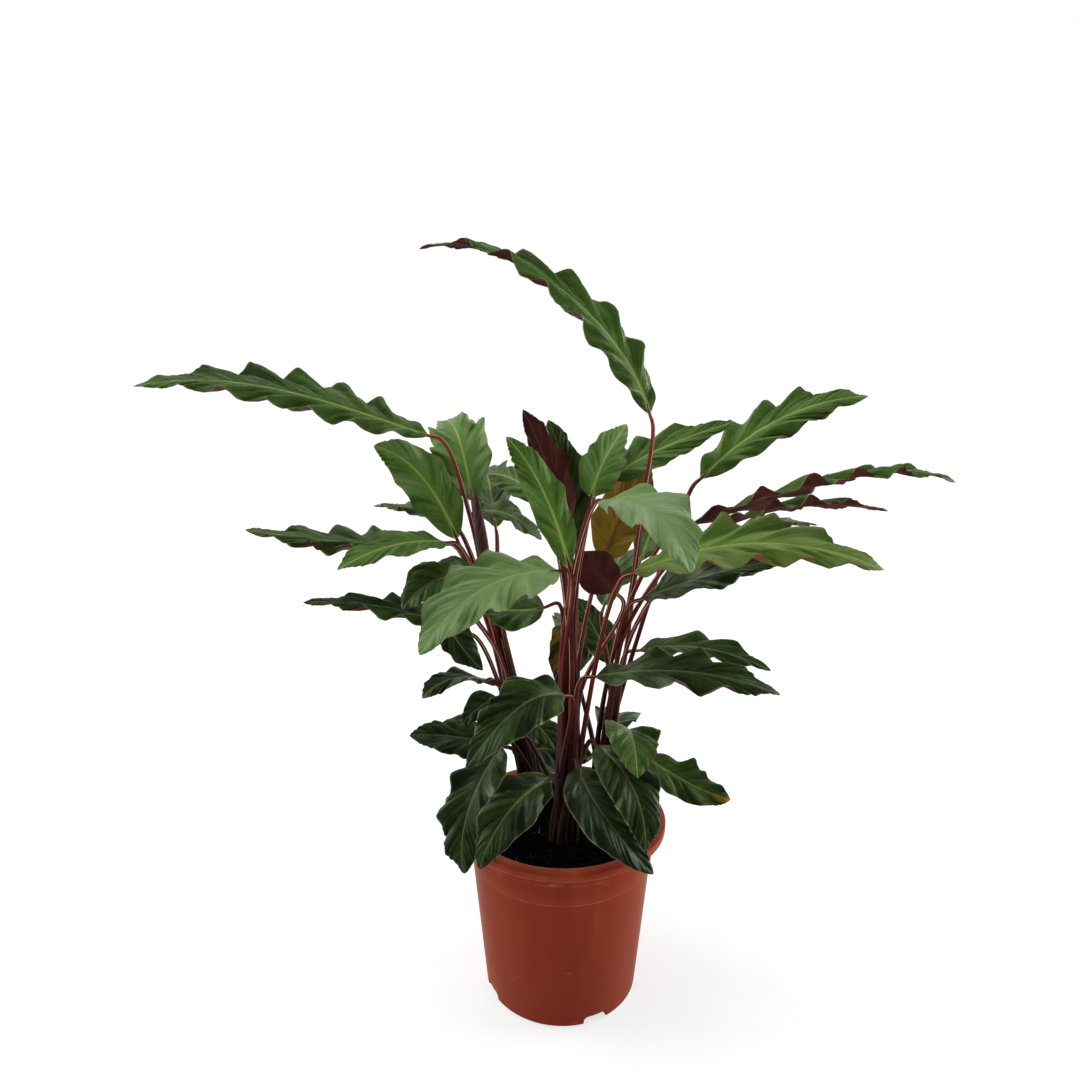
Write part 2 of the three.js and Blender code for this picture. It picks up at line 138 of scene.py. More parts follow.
class Place(Link):
    """A vector's socket in a node tree. Arithmetic on it adds Vector Math nodes."""

    def node(self, operation: str, others: Mapping[str, Place | Value | float]) -> bpy.types.Node:
        """Adds a Vector Math node on this vector and the others, each named by its socket."""
        return self.graph.node("ShaderNodeVectorMath", {"operation": operation}, {"Vector": self, **others})

    def apply(self, operation: str, **others: Place | Value | float) -> Place:
        """The vector that an operation makes of this one and the others."""
        return Place(self.graph, self.node(operation, others).outputs["Vector"])

    def __add__(self, other: Place) -> Place:
        """The sum of two vectors."""
        return self.apply("ADD", Vector_001=other)

    def __sub__(self, other: Place) -> Place:
        """The difference of two vectors."""
        return self.apply("SUBTRACT", Vector_001=other)

    def __mul__(self, length: Value | float) -> Place:
        """The vector made longer or shorter by a number."""
        return self.apply("SCALE", Scale=length)

    def cross(self, other: Place) -> Place:
        """The cross product."""
        return self.apply("CROSS_PRODUCT", Vector_001=other)

    def unit(self) -> Place:
        """The same direction with a length of 1."""
        return self.apply("NORMALIZE")

    def dot(self, other: Place) -> Value:
        """The dot product."""
        return Value(self.graph, self.node("DOT_PRODUCT", {"Vector_001": other}).outputs["Value"])

    def parts(self) -> tuple[Value, Value, Value]:
        """The three components."""
        x, y, z = self.graph.node("ShaderNodeSeparateXYZ", None, {"Vector": self}).outputs
        return Value(self.graph, x), Value(self.graph, y), Value(self.graph, z)


class Graph:
    """Adds nodes and links to one tree of a material or of geometry nodes."""

    def __init__(self, tree: bpy.types.NodeTree) -> None:
        """Starts with the tree's own nodes removed."""
        self.tree = tree
        tree.nodes.clear()

    @staticmethod
    def pick(sockets: Iterable[bpy.types.NodeSocket], key: str) -> bpy.types.NodeSocket:
        """Finds a socket by identifier, or else by name.

        Args:
            sockets: the inputs or outputs of a node.
            key: the identifier or the name.

        Returns:
            The socket.
        """
        listed = list(sockets)
        for socket in listed:
            if socket.identifier == key:
                return socket
        return next(socket for socket in listed if socket.name == key)

    def node(
        self,
        kind: str,
        settings: Mapping[str, Any] | None = None,
        inputs: Mapping[str, Any] | None = None,
    ) -> bpy.types.Node:
        """Adds one node.

        Args:
            kind: the node's type, such as ShaderNodeTexNoise.
            settings: its own settings, set first.
            inputs: a value or a link for each input named by identifier or name.

        Returns:
            The node.
        """
        made = self.tree.nodes.new(kind)
        for name, setting in (settings or {}).items():
            setattr(made, name, setting)
        for key, given in (inputs or {}).items():
            socket = self.pick(made.inputs, key)
            source = given.socket if isinstance(given, Link) else given
            if isinstance(source, bpy.types.NodeSocket):
                self.tree.links.new(source, socket)
            else:
                socket.default_value = given
        return made

    def math(self, operation: str, *numbers: Value | float) -> Value:
        """Adds a Math node.

        Args:
            operation: the node's operation.
            numbers: its one or two operands.

        Returns:
            Its result.
        """
        inputs = dict(zip(("Value", "Value_001"), numbers))
        node = self.node("ShaderNodeMath", {"operation": operation}, inputs)
        return Value(self, node.outputs["Value"])

    def vector(self, x: Value | float, y: Value | float, z: Value | float) -> Place:
        """Joins three numbers in a vector."""
        node = self.node("ShaderNodeCombineXYZ", None, {"X": x, "Y": y, "Z": z})
        return Place(self, node.outputs["Vector"])

    def object_place(self) -> Place:
        """The place on the object in metres, in a material."""
        return Place(self, self.node("ShaderNodeTexCoord").outputs["Object"])

    def stored_place(self, name: str) -> Place:
        """A vector stored on the mesh, in a material."""
        return Place(self, self.node("ShaderNodeAttribute", {"attribute_name": name}).outputs["Vector"])

    def blend(self, share: Value | float, first: Place | Triple, second: Place | Triple) -> Place:
        """Mixes two colours.

        Args:
            share: how much of the second colour shows.
            first: a colour or a link.
            second: a colour or a link.

        Returns:
            The mixed colour.
        """
        inputs = {
            "Factor_Float": share,
            "A_Color": first if isinstance(first, Place) else (*first, 1.0),
            "B_Color": second if isinstance(second, Place) else (*second, 1.0),
        }
        node = self.node("ShaderNodeMix", {"data_type": "RGBA"}, inputs)
        return Place(self, self.pick(node.outputs, "Result_Color"))

    def layers(self, ground: Triple, *coats: tuple[Value | float, Place | Triple]) -> Place:
        """Lays colours over a ground colour, one on another.

        Args:
            ground: the colour below.
            coats: how much of each colour shows, and the colour.

        Returns:
            The colour that shows.
        """
        colour: Place | Triple = ground
        for share, coat in coats:
            colour = self.blend(share, colour, coat)
        return colour

    def noise(self, place: Place, scale: float, detail: float = 2.0, roughness: float = 0.5) -> Value:
        """Adds noise over a place.

        Args:
            place: where the noise is read.
            scale: features for each unit of the place, which is a metre unless the place is scaled.
            detail: how many octaves it has.
            roughness: how strong the finer octaves are.

        Returns:
            A number that is mostly between 0.25 and 0.75.
        """
        inputs = {"Vector": place, "Scale": scale, "Detail": detail, "Roughness": roughness}
        node = self.node("ShaderNodeTexNoise", None, inputs)
        return Value(self, self.pick(node.outputs, "Fac"))


class Recipe:
    """A tree of geometry nodes with named inputs, built once and used on many pieces."""

    def __init__(self, name: str, inputs: Mapping[str, str]) -> None:
        """Makes an empty tree.

        Args:
            name: the tree's name.
            inputs: the kind of each named input, such as Float or Material.
        """
        tree = bpy.data.node_groups.new(name, "GeometryNodeTree")
        self.graph = Graph(tree)
        self.keys: dict[str, str] = {}
        for label, kind in inputs.items():
            socket = tree.interface.new_socket(label, in_out="INPUT", socket_type=f"NodeSocket{kind}")
            self.keys[label] = socket.identifier
        tree.interface.new_socket("Geometry", in_out="OUTPUT", socket_type="NodeSocketGeometry")
        self.entry = tree.nodes.new("NodeGroupInput")
        self.exit = tree.nodes.new("NodeGroupOutput")

    def number(self, label: str) -> Value:
        """One of the tree's numbers."""
        return Value(self.graph, self.entry.outputs[label])

    def place(self, label: str) -> Place:
        """One of the tree's vectors."""
        return Place(self.graph, self.entry.outputs[label])

    def socket(self, label: str) -> bpy.types.NodeSocket:
        """One of the tree's inputs as it is, such as a material or a mesh."""
        return self.entry.outputs[label]

    def position(self) -> Place:
        """Where each point lies."""
        return Place(self.graph, self.graph.node("GeometryNodeInputPosition").outputs["Position"])

    def attribute(self, name: str) -> Value:
        """Reads a number stored on the mesh."""
        node = self.graph.node("GeometryNodeInputNamedAttribute", {"data_type": "FLOAT"}, {"Name": name})
        return Value(self.graph, self.graph.pick(node.outputs, "Attribute"))

    def store(
        self,
        mesh: bpy.types.NodeSocket,
        name: str,
        given: Value | Place | float,
        kind: str = "FLOAT",
        domain: str = "POINT",
    ) -> bpy.types.NodeSocket:
        """Stores an attribute on a mesh or a curve.

        Args:
            mesh: the geometry.
            name: the attribute's name.
            given: what is stored.
            kind: the data type.
            domain: points or corners.

        Returns:
            The geometry with the attribute.
        """
        settings = {"data_type": kind, "domain": domain}
        inputs = {"Geometry": mesh, "Name": name, "Value": given}
        node = self.graph.node("GeometryNodeStoreNamedAttribute", settings, inputs)
        return node.outputs["Geometry"]

    def moved(
        self, mesh: bpy.types.NodeSocket, place: Place, key: str = "Position"
    ) -> bpy.types.NodeSocket:
        """Moves points to a place, or by an offset where the key says so."""
        node = self.graph.node("GeometryNodeSetPosition", None, {"Geometry": mesh, key: place})
        return node.outputs["Geometry"]

    def dressed(self, mesh: bpy.types.NodeSocket, label: str) -> bpy.types.NodeSocket:
        """Makes instances real and gives the mesh a material.

        Args:
            mesh: a mesh or instances.
            label: the tree's input that holds the material.

        Returns:
            The mesh with the material.
        """
        real = self.graph.node("GeometryNodeRealizeInstances", None, {"Geometry": mesh})
        inputs = {"Geometry": real.outputs["Geometry"], "Material": self.socket(label)}
        return self.graph.node("GeometryNodeSetMaterial", None, inputs).outputs["Geometry"]

    def joined(self, *meshes: bpy.types.NodeSocket) -> bpy.types.NodeSocket:
        """Joins meshes in one.

        Args:
            meshes: the meshes, the first of which comes first in the whole.

        Returns:
            The whole.
        """
        node = self.graph.node("GeometryNodeJoinGeometry")
        for mesh in reversed(meshes):
            self.graph.tree.links.new(mesh, node.inputs["Geometry"])
        return node.outputs["Geometry"]

    def finish(self, mesh: bpy.types.NodeSocket) -> None:
        """Ends the tree in a mesh with smooth faces."""
        smooth = self.graph.node("GeometryNodeSetShadeSmooth", None, {"Geometry": mesh})
        self.graph.tree.links.new(smooth.outputs["Geometry"], self.exit.inputs["Geometry"])

    def use_on(self, piece: bpy.types.Object, values: Mapping[str, Any]) -> None:
        """Puts the tree on a piece as a modifier.

        Args:
            piece: the piece.
            values: what each named input is set to.
        """
        modifier = piece.modifiers.new("recipe", "NODES")
        modifier.node_group = self.graph.tree
        for label, given in values.items():
            modifier[self.keys[label]] = given


# Pieces


def plain_mesh(
    name: str,
    points: Sequence[Sequence[float]],
    edges: Sequence[tuple[int, int]] = (),
    faces: Sequence[tuple[int, ...]] = (),
) -> bpy.types.Mesh:
    """Makes a mesh from lists.

    Args:
        name: the mesh's name.
        points: the points.
        edges: the loose edges.
        faces: the faces.

    Returns:
        The mesh.
    """
    mesh = bpy.data.meshes.new(name)
    mesh.from_pydata(points, edges, faces)
    return mesh


def new_piece(name: str, mesh: bpy.types.Mesh | None = None) -> bpy.types.Object:
    """Adds an object to the scene, at the origin.

    Args:
        name: the piece's name.
        mesh: its mesh, or nothing for an empty one.

    Returns:
        The object.
    """
    piece = bpy.data.objects.new(name, mesh or bpy.data.meshes.new(name))
    bpy.context.scene.collection.objects.link(piece)
    return piece


def settle(pieces: Sequence[bpy.types.Object], sharp_angle: float) -> None:
    """Turns each piece's evaluated shape into its plain mesh and removes its modifiers.

    Args:
        pieces: the pieces.
        sharp_angle: the angle in degrees from which an edge shows sharp.
    """
    graph = bpy.context.evaluated_depsgraph_get()
    graph.update()
    for piece in pieces:
        shape = piece.evaluated_get(graph)
        mesh = bpy.data.meshes.new_from_object(shape, preserve_all_data_layers=True, depsgraph=graph)
        piece.modifiers.clear()
        piece.data = mesh
        mesh.set_sharp_from_angle(angle=math.radians(sharp_angle))


def stand_for(piece: bpy.types.Object, slot: str, *nodes: str) -> None:
    """Registers a finished piece.

    Args:
        piece: the piece.
        slot: not used.
        nodes: the solids of the frame that it replaces.
    """
    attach(piece, BODY)
    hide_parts(*nodes)
    log.info("%s: %d faces for %s", piece.name, len(piece.data.polygons), ", ".join(nodes))


def hand_in(pieces: Mapping[str, bpy.types.Object], slot: str, sharp_angle: float) -> None:
    """Settles pieces and registers each of them for its solid.

    Args:
        pieces: the piece for each solid of the frame.
        slot: passed on to stand_for, which doesn't use it.
        sharp_angle: the angle in degrees from which an edge shows sharp.
    """
    settle(list(pieces.values()), sharp_angle)
    for node, piece in pieces.items():
        stand_for(piece, slot, node)


# Finishes


@dataclass(frozen=True)
class Gloss:
    """The part of a surface's gloss that is the same all over it."""

    specular: float = 0.5
    specular_tint: Triple = (1.0, 1.0, 1.0)
    coat_roughness: float = 0.03
    sheen: float = 0.0
    sheen_roughness: float = 0.5
    sheen_tint: Triple = (1.0, 1.0, 1.0)

    def inputs(self) -> dict[str, Any]:
        """The shader's inputs for it.

        Returns:
            Their values by name.
        """
        return {
            "Specular IOR Level": self.specular,
            "Specular Tint": (*self.specular_tint, 1.0),
            "Coat Roughness": self.coat_roughness,
            "Sheen Weight": self.sheen,
            "Sheen Roughness": self.sheen_roughness,
            "Sheen Tint": (*self.sheen_tint, 1.0),
        }


class Finish:
    """What every finish has: a material of its own that ends in one Principled shader."""

    material_name = "finish"
    gloss = Gloss()
    relief = 0.0

    def build(self) -> bpy.types.Material:
        """Makes the material.

        Returns:
            The material.
        """
        material = bpy.data.materials.new(self.material_name)
        material.use_nodes = True
        self.paint(Graph(material.node_tree))
        return material

    def paint(self, graph: Graph) -> None:
        """Adds the finish's own nodes to its material's empty graph."""
        raise NotImplementedError

    def close(
        self,
        graph: Graph,
        colour: Place,
        roughness: Value | float,
        height: Value | None = None,
        others: Mapping[str, Any] | None = None,
    ) -> None:
        """Ends the material in its shader.

        Args:
            graph: the material's graph.
            colour: the base colour.
            roughness: how rough it is.
            height: the form of the relief, or nothing. How deep it is, in metres, is the finish's own.
            others: more inputs of the shader.
        """
        inputs = self.gloss.inputs() | {"Base Color": colour, "Roughness": roughness} | dict(others or {})
        if height is not None:
            bump = {"Strength": 1.0, "Distance": self.relief, "Height": height}
            inputs["Normal"] = graph.node("ShaderNodeBump", None, bump).outputs["Normal"]
        shader = graph.node("ShaderNodeBsdfPrincipled", None, inputs)
        graph.node("ShaderNodeOutputMaterial", None, {"Surface": shader.outputs["BSDF"]})


@dataclass(frozen=True)
class BladeUpperFinish(Finish):
    """The velvety upper face of a blade. It reads the blade's stored place and tone."""

    dark: Triple = (0.0095, 0.0175, 0.0035)
    middle: Triple = (0.036, 0.076, 0.0095)
    light: Triple = (0.095, 0.205, 0.026)
    flush: Triple = (0.150, 0.270, 0.030)
    vein: Triple = (0.230, 0.350, 0.100)
    rib: Triple = (0.460, 0.570, 0.160)
    margin: Triple = (0.215, 0.220, 0.110)
    tanned: Triple = (0.160, 0.100, 0.060)
    yellowed: Triple = (0.170, 0.185, 0.030)
    # painted sheen: the pale grey-green of light glancing off the velvet
    painted_sheen: Triple = (0.185, 0.260, 0.125)
    dry: Triple = (0.50, 0.25, 0.04)
    vein_pitch: float = VEIN_PITCH
    blotch_scale: float = 60.0
    grain_scale: float = 900.0
    pile_scale: float = 450.0
    rib_width: float = 0.62 * MM
    rib_core: float = 0.28 * MM
    rib_spread: float = 0.12 * MM
    relief: float = 0.35 * MM
    gloss: Gloss = Gloss(
        specular=0.20, specular_tint=(0.85, 1.0, 0.72), coat_roughness=0.38,
        sheen=0.05, sheen_roughness=0.35, sheen_tint=(0.75, 0.95, 0.70),
    )

    material_name = "blade_upper"

    def paint(self, graph: Graph) -> None:
        """Adds mottled green, painted shade and sheen, the flush at the foot, veins, midrib and margin.

        Args:
            graph: the material's graph.
        """
        along, across, reach = graph.stored_place("place").parts()
        tone, olive, dryness = graph.stored_place("tone").parts()
        place = graph.object_place()
        blotch = graph.noise(place, self.blotch_scale, 3.0)
        grain = graph.noise(place, self.grain_scale, 3.0, 0.6)
        pile = graph.noise(place, self.pile_scale, 2.0)
        streak = graph.noise(graph.vector(along / (0.2 * self.vein_pitch), reach * 0.7, 0.0), 1.0, 2.0)
        vein = along.from_line(self.vein_pitch)
        thin = along.from_line(self.vein_pitch / 2)
        minor = along.from_line(self.vein_pitch / 6)

        # the vein term is painted shade in the furrows along the lateral veins, with lighter ridges between
        shade = tone + (blotch - 0.5) * 0.65 + (streak - 0.5) * 0.30 + (vein - 0.25) * (blotch * 0.9 - 0.15)
        shade = shade + (pile - 0.5) * 0.35
        flush = tone.ramp(0.08, 1.25) * tone.ramp(1.1, 0.9) * 0.7
        line = thin.ramp(0.40, 0.48) * reach.ramp(0.95, 0.15)
        rib = (across.size() - tone * self.rib_spread).ramp(self.rib_width, self.rib_core)
        marked = (0.16 + tone * 0.64) * tone.ramp(1.2, 0.85) * (1.0 - olive)
        rim = graph.blend(tone.ramp(0.3, 0.8), self.margin, self.tanned)
        withered = (along * 30.0 + (blotch - 0.5) * 1.4 + (streak - 0.5) * 0.6).ramp(1.35, 1.75)
        colour = graph.layers(
            self.dark,
            (shade.ramp(0.0, 0.5), self.middle),
            (shade.ramp(0.4, 1.05), self.light),
            # painted sheen on the lightest leaves and on the crests of their folds
            ((tone + (blotch - 0.5) * 0.5).ramp(0.8, 1.35), self.painted_sheen),
            (olive * blotch, self.yellowed),
            (reach.ramp(0.40, 0.02) * along.ramp(0.13, 0.01) * flush, self.flush),
            (line * (0.05 + tone * 0.34), self.vein),
            (rib * marked, self.rib),
            (reach.ramp(0.95, 0.98) * (0.3 + blotch * 0.8), rim),
            (withered * dryness, self.dry),
        )
        roughness = 0.30 + grain * 0.16 + tone * 0.10
        coat = blotch.ramp(0.42, 0.68) * tone.ramp(0.5, 0.1) * 0.3
        height = grain * 0.22 + minor * 0.5 + streak * 0.5
        self.close(graph, colour, roughness, height, {"Coat Weight": coat})


@dataclass(frozen=True)
class BladeUnderFinish(Finish):
    """The underside of a blade: dark maroon, or olive on a few leaves, with raised veins."""

    maroon: Triple = (0.044, 0.0090, 0.0070)
    maroon_light: Triple = (0.150, 0.034, 0.022)
    olive: Triple = (0.240, 0.135, 0.007)
    # painted light shining through the thin foot of an olive underside
    backlit_yellow: Triple = (0.360, 0.255, 0.016)
    # painted shade: near-black olive for undersides that lie in shade
    painted_olive_shade: Triple = (0.0120, 0.0160, 0.0025)
    rib: Triple = (0.085, 0.035, 0.022)
    vein_pitch: float = VEIN_PITCH
    blotch_scale: float = 60.0
    grain_scale: float = 1100.0
    backlit_length: float = 45 * MM
    rib_width: float = 1.4 * MM
    rib_core: float = 0.6 * MM
    relief: float = 0.3 * MM
    gloss: Gloss = Gloss(specular=0.15, sheen=0.05, sheen_roughness=0.4, sheen_tint=(1.0, 0.65, 0.6))

    material_name = "blade_under"

    def paint(self, graph: Graph) -> None:
        """Adds the mottled ground, painted light and shade on olive undersides, the veins and the midrib.

        Args:
            graph: the material's graph.
        """
        along, across, _ = graph.stored_place("place").parts()
        tone, olive, _ = graph.stored_place("tone").parts()
        place = graph.object_place()
        blotch = graph.noise(place, self.blotch_scale, 3.0)
        grain = graph.noise(place, self.grain_scale, 3.0, 0.6)
        line = along.from_line(self.vein_pitch).ramp(0.10, 0.02)
        colour = graph.layers(
            self.maroon,
            (blotch.ramp(0.3, 0.75) * 0.7, self.maroon_light),
            (olive * (0.55 + blotch * 0.8), self.olive),
            # painted light: the foot of an olive underside lighter and yellower, as lit through the blade
            (olive * along.ramp(self.backlit_length, 10 * MM) * 0.6, self.backlit_yellow),
            # painted shade on the olive where the leaf's tone is low
            (olive * (tone + (blotch - 0.5) * 0.4).ramp(0.35, 0.1) * 1.1, self.painted_olive_shade),
            (line * 0.25, self.rib),
            (across.size().ramp(self.rib_width, self.rib_core) * 0.6, self.rib),
        )
        self.close(graph, colour, 0.40 + grain * 0.2, line + grain * 0.2)


@dataclass(frozen=True)
class StalkFinish(Finish):
    """A leaf stalk: maroon with red-brown sides and fine lighter streaks along it."""

    foot: Triple = (0.0100, 0.0022, 0.0022)
    dark: Triple = (0.040, 0.0042, 0.0060)
    red: Triple = (0.168, 0.0175, 0.0125)
    warm: Triple = (0.290, 0.085, 0.028)
    streak: Triple = (0.42, 0.16, 0.08)
    green: Triple = (0.12, 0.13, 0.04)
    # a pale line along each stalk: partly the pale margin of its wing, partly a painted highlight
    edge: Triple = (1.0, 0.54, 0.32)
    speck_scale: float = 1500.0
    relief: float = 0.25 * MM
    gloss: Gloss = Gloss(specular=0.16, sheen=0.03, sheen_tint=(1.0, 0.75, 0.65))

    material_name = "stalk"

    def paint(self, graph: Graph) -> None:
        """Adds the red over the dark foot, the streaks, and each edge: a pale margin with a painted
        highlight.

        The stored place is round the stalk, along it, and the stalk's own number.

        Args:
            graph: the material's graph.
        """
        around, along, own = graph.stored_place("place").parts()
        _, _, height = graph.object_place().parts()
        soft = graph.noise(graph.vector(around * 3.0, along * 12.0, own * 40.0), 1.0, 3.0)
        fine = graph.noise(graph.vector(around * 9.0, along * 9.0, own * 90.0), 1.0, 2.0)
        speck = graph.noise(graph.object_place(), self.speck_scale, 2.0)
        streak = fine.ramp(0.54, 0.66) * height.ramp(120 * MM, 250 * MM)
        # each stalk's pale edge line: partly its pale margin, partly a painted highlight
        edge = (around - (0.25 + own * 0.5)).size().ramp(0.055, 0.02) * height.ramp(160 * MM, 250 * MM)
        colour = graph.layers(
            self.foot,
            (height.ramp(130 * MM, 260 * MM), graph.blend(soft.ramp(0.35, 0.65), self.dark, self.red)),
            (height.ramp(320 * MM, 400 * MM) * (0.35 + own * 0.5), self.warm),
            (streak * 0.2, self.streak),
            (own.ramp(0.7, 1.0) * 0.25, self.green),
            (edge * (0.5 + soft * 0.9), self.edge),
        )
        self.close(graph, colour, 0.36 + speck * 0.3, fine + speck * 0.3)


@dataclass(frozen=True)
class HairFinish(Finish):
    """The short pale hairs on the stalks."""

    root: Triple = (0.14, 0.035, 0.025)
    tip: Triple = (0.34, 0.17, 0.11)
    patch_scale: float = 400.0
    gloss: Gloss = Gloss(specular=0.3)

    material_name = "hair"

    def paint(self, graph: Graph) -> None:
        """Adds patches of the two colours."""
        patch = graph.noise(graph.object_place(), self.patch_scale)
        self.close(graph, graph.blend(patch.ramp(0.35, 0.65), self.root, self.tip), 0.6)


@dataclass(frozen=True)
class RolledFinish(Finish):
    """The rolled young leaf, which shows its maroon underside."""

    dark: Triple = (0.034, 0.0070, 0.0075)
    light: Triple = (0.100, 0.026, 0.024)
    grain_scale: float = 900.0
    relief: float = 0.3 * MM
    gloss: Gloss = Gloss(specular=0.3, sheen=0.1, sheen_tint=(1.0, 0.65, 0.6))

    material_name = "rolled_leaf"

    def paint(self, graph: Graph) -> None:
        """Adds ridges that run aslant round the roll.

        Args:
            graph: the material's graph.
        """
        around, along, _ = graph.stored_place("place").parts()
        ridge = graph.noise(graph.vector(along * 260.0 + around * 9.0, around, 0.0), 1.0, 2.0)
        grain = graph.noise(graph.object_place(), self.grain_scale)
        colour = graph.blend(ridge.ramp(0.4, 0.65), self.dark, self.light)
        self.close(graph, colour, 0.45 + grain * 0.2, ridge + grain * 0.2)


@dataclass(frozen=True)
class SoilFinish(Finish):
    """Moist compost, near-black: its own dark colour together with painted shade from the leaves."""

    # both colours are near-black: the compost's own colour darkened further as painted shade of the leaves
    dark: Triple = (0.0010, 0.0007, 0.0005)
    brown: Triple = (0.0070, 0.0040, 0.0024)
    clod_scale: float = 260.0
    grain_scale: float = 1600.0
    relief: float = 1.2 * MM
    gloss: Gloss = Gloss(specular=0.04)

    material_name = "soil"

    def paint(self, graph: Graph) -> None:
        """Adds clods and grains.

        Args:
            graph: the material's graph.
        """
        place = graph.object_place()
        clod = graph.noise(place, self.clod_scale, 4.0, 0.65)
        grain = graph.noise(place, self.grain_scale, 3.0, 0.7)
        colour = graph.blend((clod * 0.6 + grain * 0.4).ramp(0.5, 0.75), self.dark, self.brown)
        self.close(graph, colour, 0.72 + clod * 0.3, clod + grain * 0.5)


@dataclass(frozen=True)
class FibreFinish(Finish):
    """The pale plant fibres in the compost."""

    dark: Triple = (0.050, 0.028, 0.014)
    pale: Triple = (0.340, 0.250, 0.150)
    patch_scale: float = 150.0

    material_name = "fibre"

    def paint(self, graph: Graph) -> None:
        """Adds patches of the two colours."""
        patch = graph.noise(graph.object_place(), self.patch_scale)
        self.close(graph, graph.blend(patch.ramp(0.45, 0.7), self.dark, self.pale), 0.7)


@dataclass(frozen=True)
class PotFinish(Finish):
    """Satin terracotta-coloured plastic, moulded and lightly scuffed."""

    base: Triple = (0.255, 0.0235, 0.0026)
    deep: Triple = (0.228, 0.0190, 0.0022)
    pale: Triple = (0.330, 0.050, 0.015)
    scuff_and_highlight: Triple = (0.55, 0.28, 0.20)
    # height and strength of pale level lines: painted highlights of the collar's and lip's edges, fainter
    # between
    lines: tuple[tuple[float, float], ...] = (
        (94.6 * MM, 0.32), (108.4 * MM, 0.10), (112.1 * MM, 0.15), (117.3 * MM, 0.22),
    )
    lip_height: float = 118.0 * MM
    collar_height: float = 98.0 * MM
    top_height: float = 121.3 * MM
    mouth_radius: float = 62.5 * MM
    cloud_scale: float = 14.0
    patch_scale: float = 38.0
    grain_scale: float = 1300.0
    relief: float = 0.12 * MM
    gloss: Gloss = Gloss(specular=0.11, sheen=0.12, sheen_roughness=0.45, sheen_tint=(0.86, 0.92, 0.70))

    material_name = "pot_plastic"

    def paint(self, graph: Graph) -> None:
        """Adds flow marks, worn edges, painted light on the lip and pale lines painted as edge highlights.

        Args:
            graph: the material's graph.
        """
        place = graph.object_place()
        x, y, z = place.parts()
        cloud = graph.noise(place, self.cloud_scale, 3.0)
        patch = graph.noise(place, self.patch_scale, 2.0)
        grain = graph.noise(place, self.grain_scale, 2.0)
        flow = graph.noise(graph.vector(x * 90.0, y * 90.0, z * 8.0), 1.0, 3.0)
        scratch = graph.noise(graph.vector(x * 60.0, y * 60.0, z * 900.0), 1.0, 4.0, 0.7)
        lip = z.ramp(self.lip_height - 1.2 * MM, self.lip_height)
        wear = patch + z.ramp(self.collar_height, self.lip_height) * 0.06 + lip * 0.06
        worn = scratch.ramp(0.60, 0.70) * wear.ramp(0.56, 0.68)
        # the level lines, in the scuff colour: painted highlights where the collar's and the lip's edges
        # catch light
        lines = [
            ((z - height).size().ramp(0.5 * MM, 0.2 * MM) * flow.ramp(0.3, 0.6) * strength, self.scuff_and_highlight)
            for height, strength in self.lines
        ]
        # a pale line round the top of the mouth: a painted highlight of the rim's inner edge
        from_mouth = ((x * x + y * y).apply("SQRT") - self.mouth_radius).size()
        edge = from_mouth.ramp(0.8 * MM, 0.3 * MM) * z.ramp(self.top_height - 0.8 * MM, self.top_height)
        colour = graph.layers(
            self.base,
            (cloud.ramp(0.35, 0.7), self.deep),
            (flow.ramp(0.5, 0.75) * 0.3, self.pale),
            # painted light: patches of the lip's outer face made paler, as where it catches the light
            (lip * patch.ramp(0.3, 0.65) * 0.6, self.pale),
            (worn * 0.5, self.scuff_and_highlight),
            (flow.ramp(0.5, 0.3) * 0.5, self.deep),
            *lines,
            (edge * 0.3, self.scuff_and_highlight),
        )
        roughness = 0.36 + grain * 0.12 + worn * 0.2 + patch * 0.08
        self.close(graph, colour, roughness, grain * 0.3 + flow * 0.7)


@dataclass(frozen=True)
class BackdropFinish(Finish):
    """The plain backdrop, as pale as the lit floor."""

    colour: Triple = (1.0, 1.0, 1.0)

    material_name = "backdrop"

    def paint(self, graph: Graph) -> None:
        """Adds an even glow in place of the shader that the other finishes have."""
        shader = graph.node("ShaderNodeEmission", None, {"Color": (*self.colour, 1.0)})
        graph.node("ShaderNodeOutputMaterial", None, {"Surface": shader.outputs["Emission"]})


@dataclass(frozen=True)
class FloorFinish(Finish):
    """The plain pale floor, which glows a little so that it stays even."""

    colour: Triple = (0.36, 0.36, 0.36)
    worn: Triple = (0.33, 0.33, 0.33)
    patch_scale: float = 30.0
    glow: float = 0.72
    gloss: Gloss = Gloss(specular=0.0)

    material_name = "floor"

    def paint(self, graph: Graph) -> None:
        """Adds faint patches and the glow.

        Args:
            graph: the material's graph.
        """
        patch = graph.noise(graph.object_place(), self.patch_scale)
        glow = {"Emission Color": (1.0, 1.0, 1.0, 1.0), "Emission Strength": self.glow}
        self.close(graph, graph.blend(patch, self.colour, self.worn), 0.9, others=glow)


# The plant's form


class Under(Enum):
    """The colour of a blade's underside, as the share of olive in it."""

    MAROON = 0.0
    OLIVE = 0.85
    BRONZE = 0.5


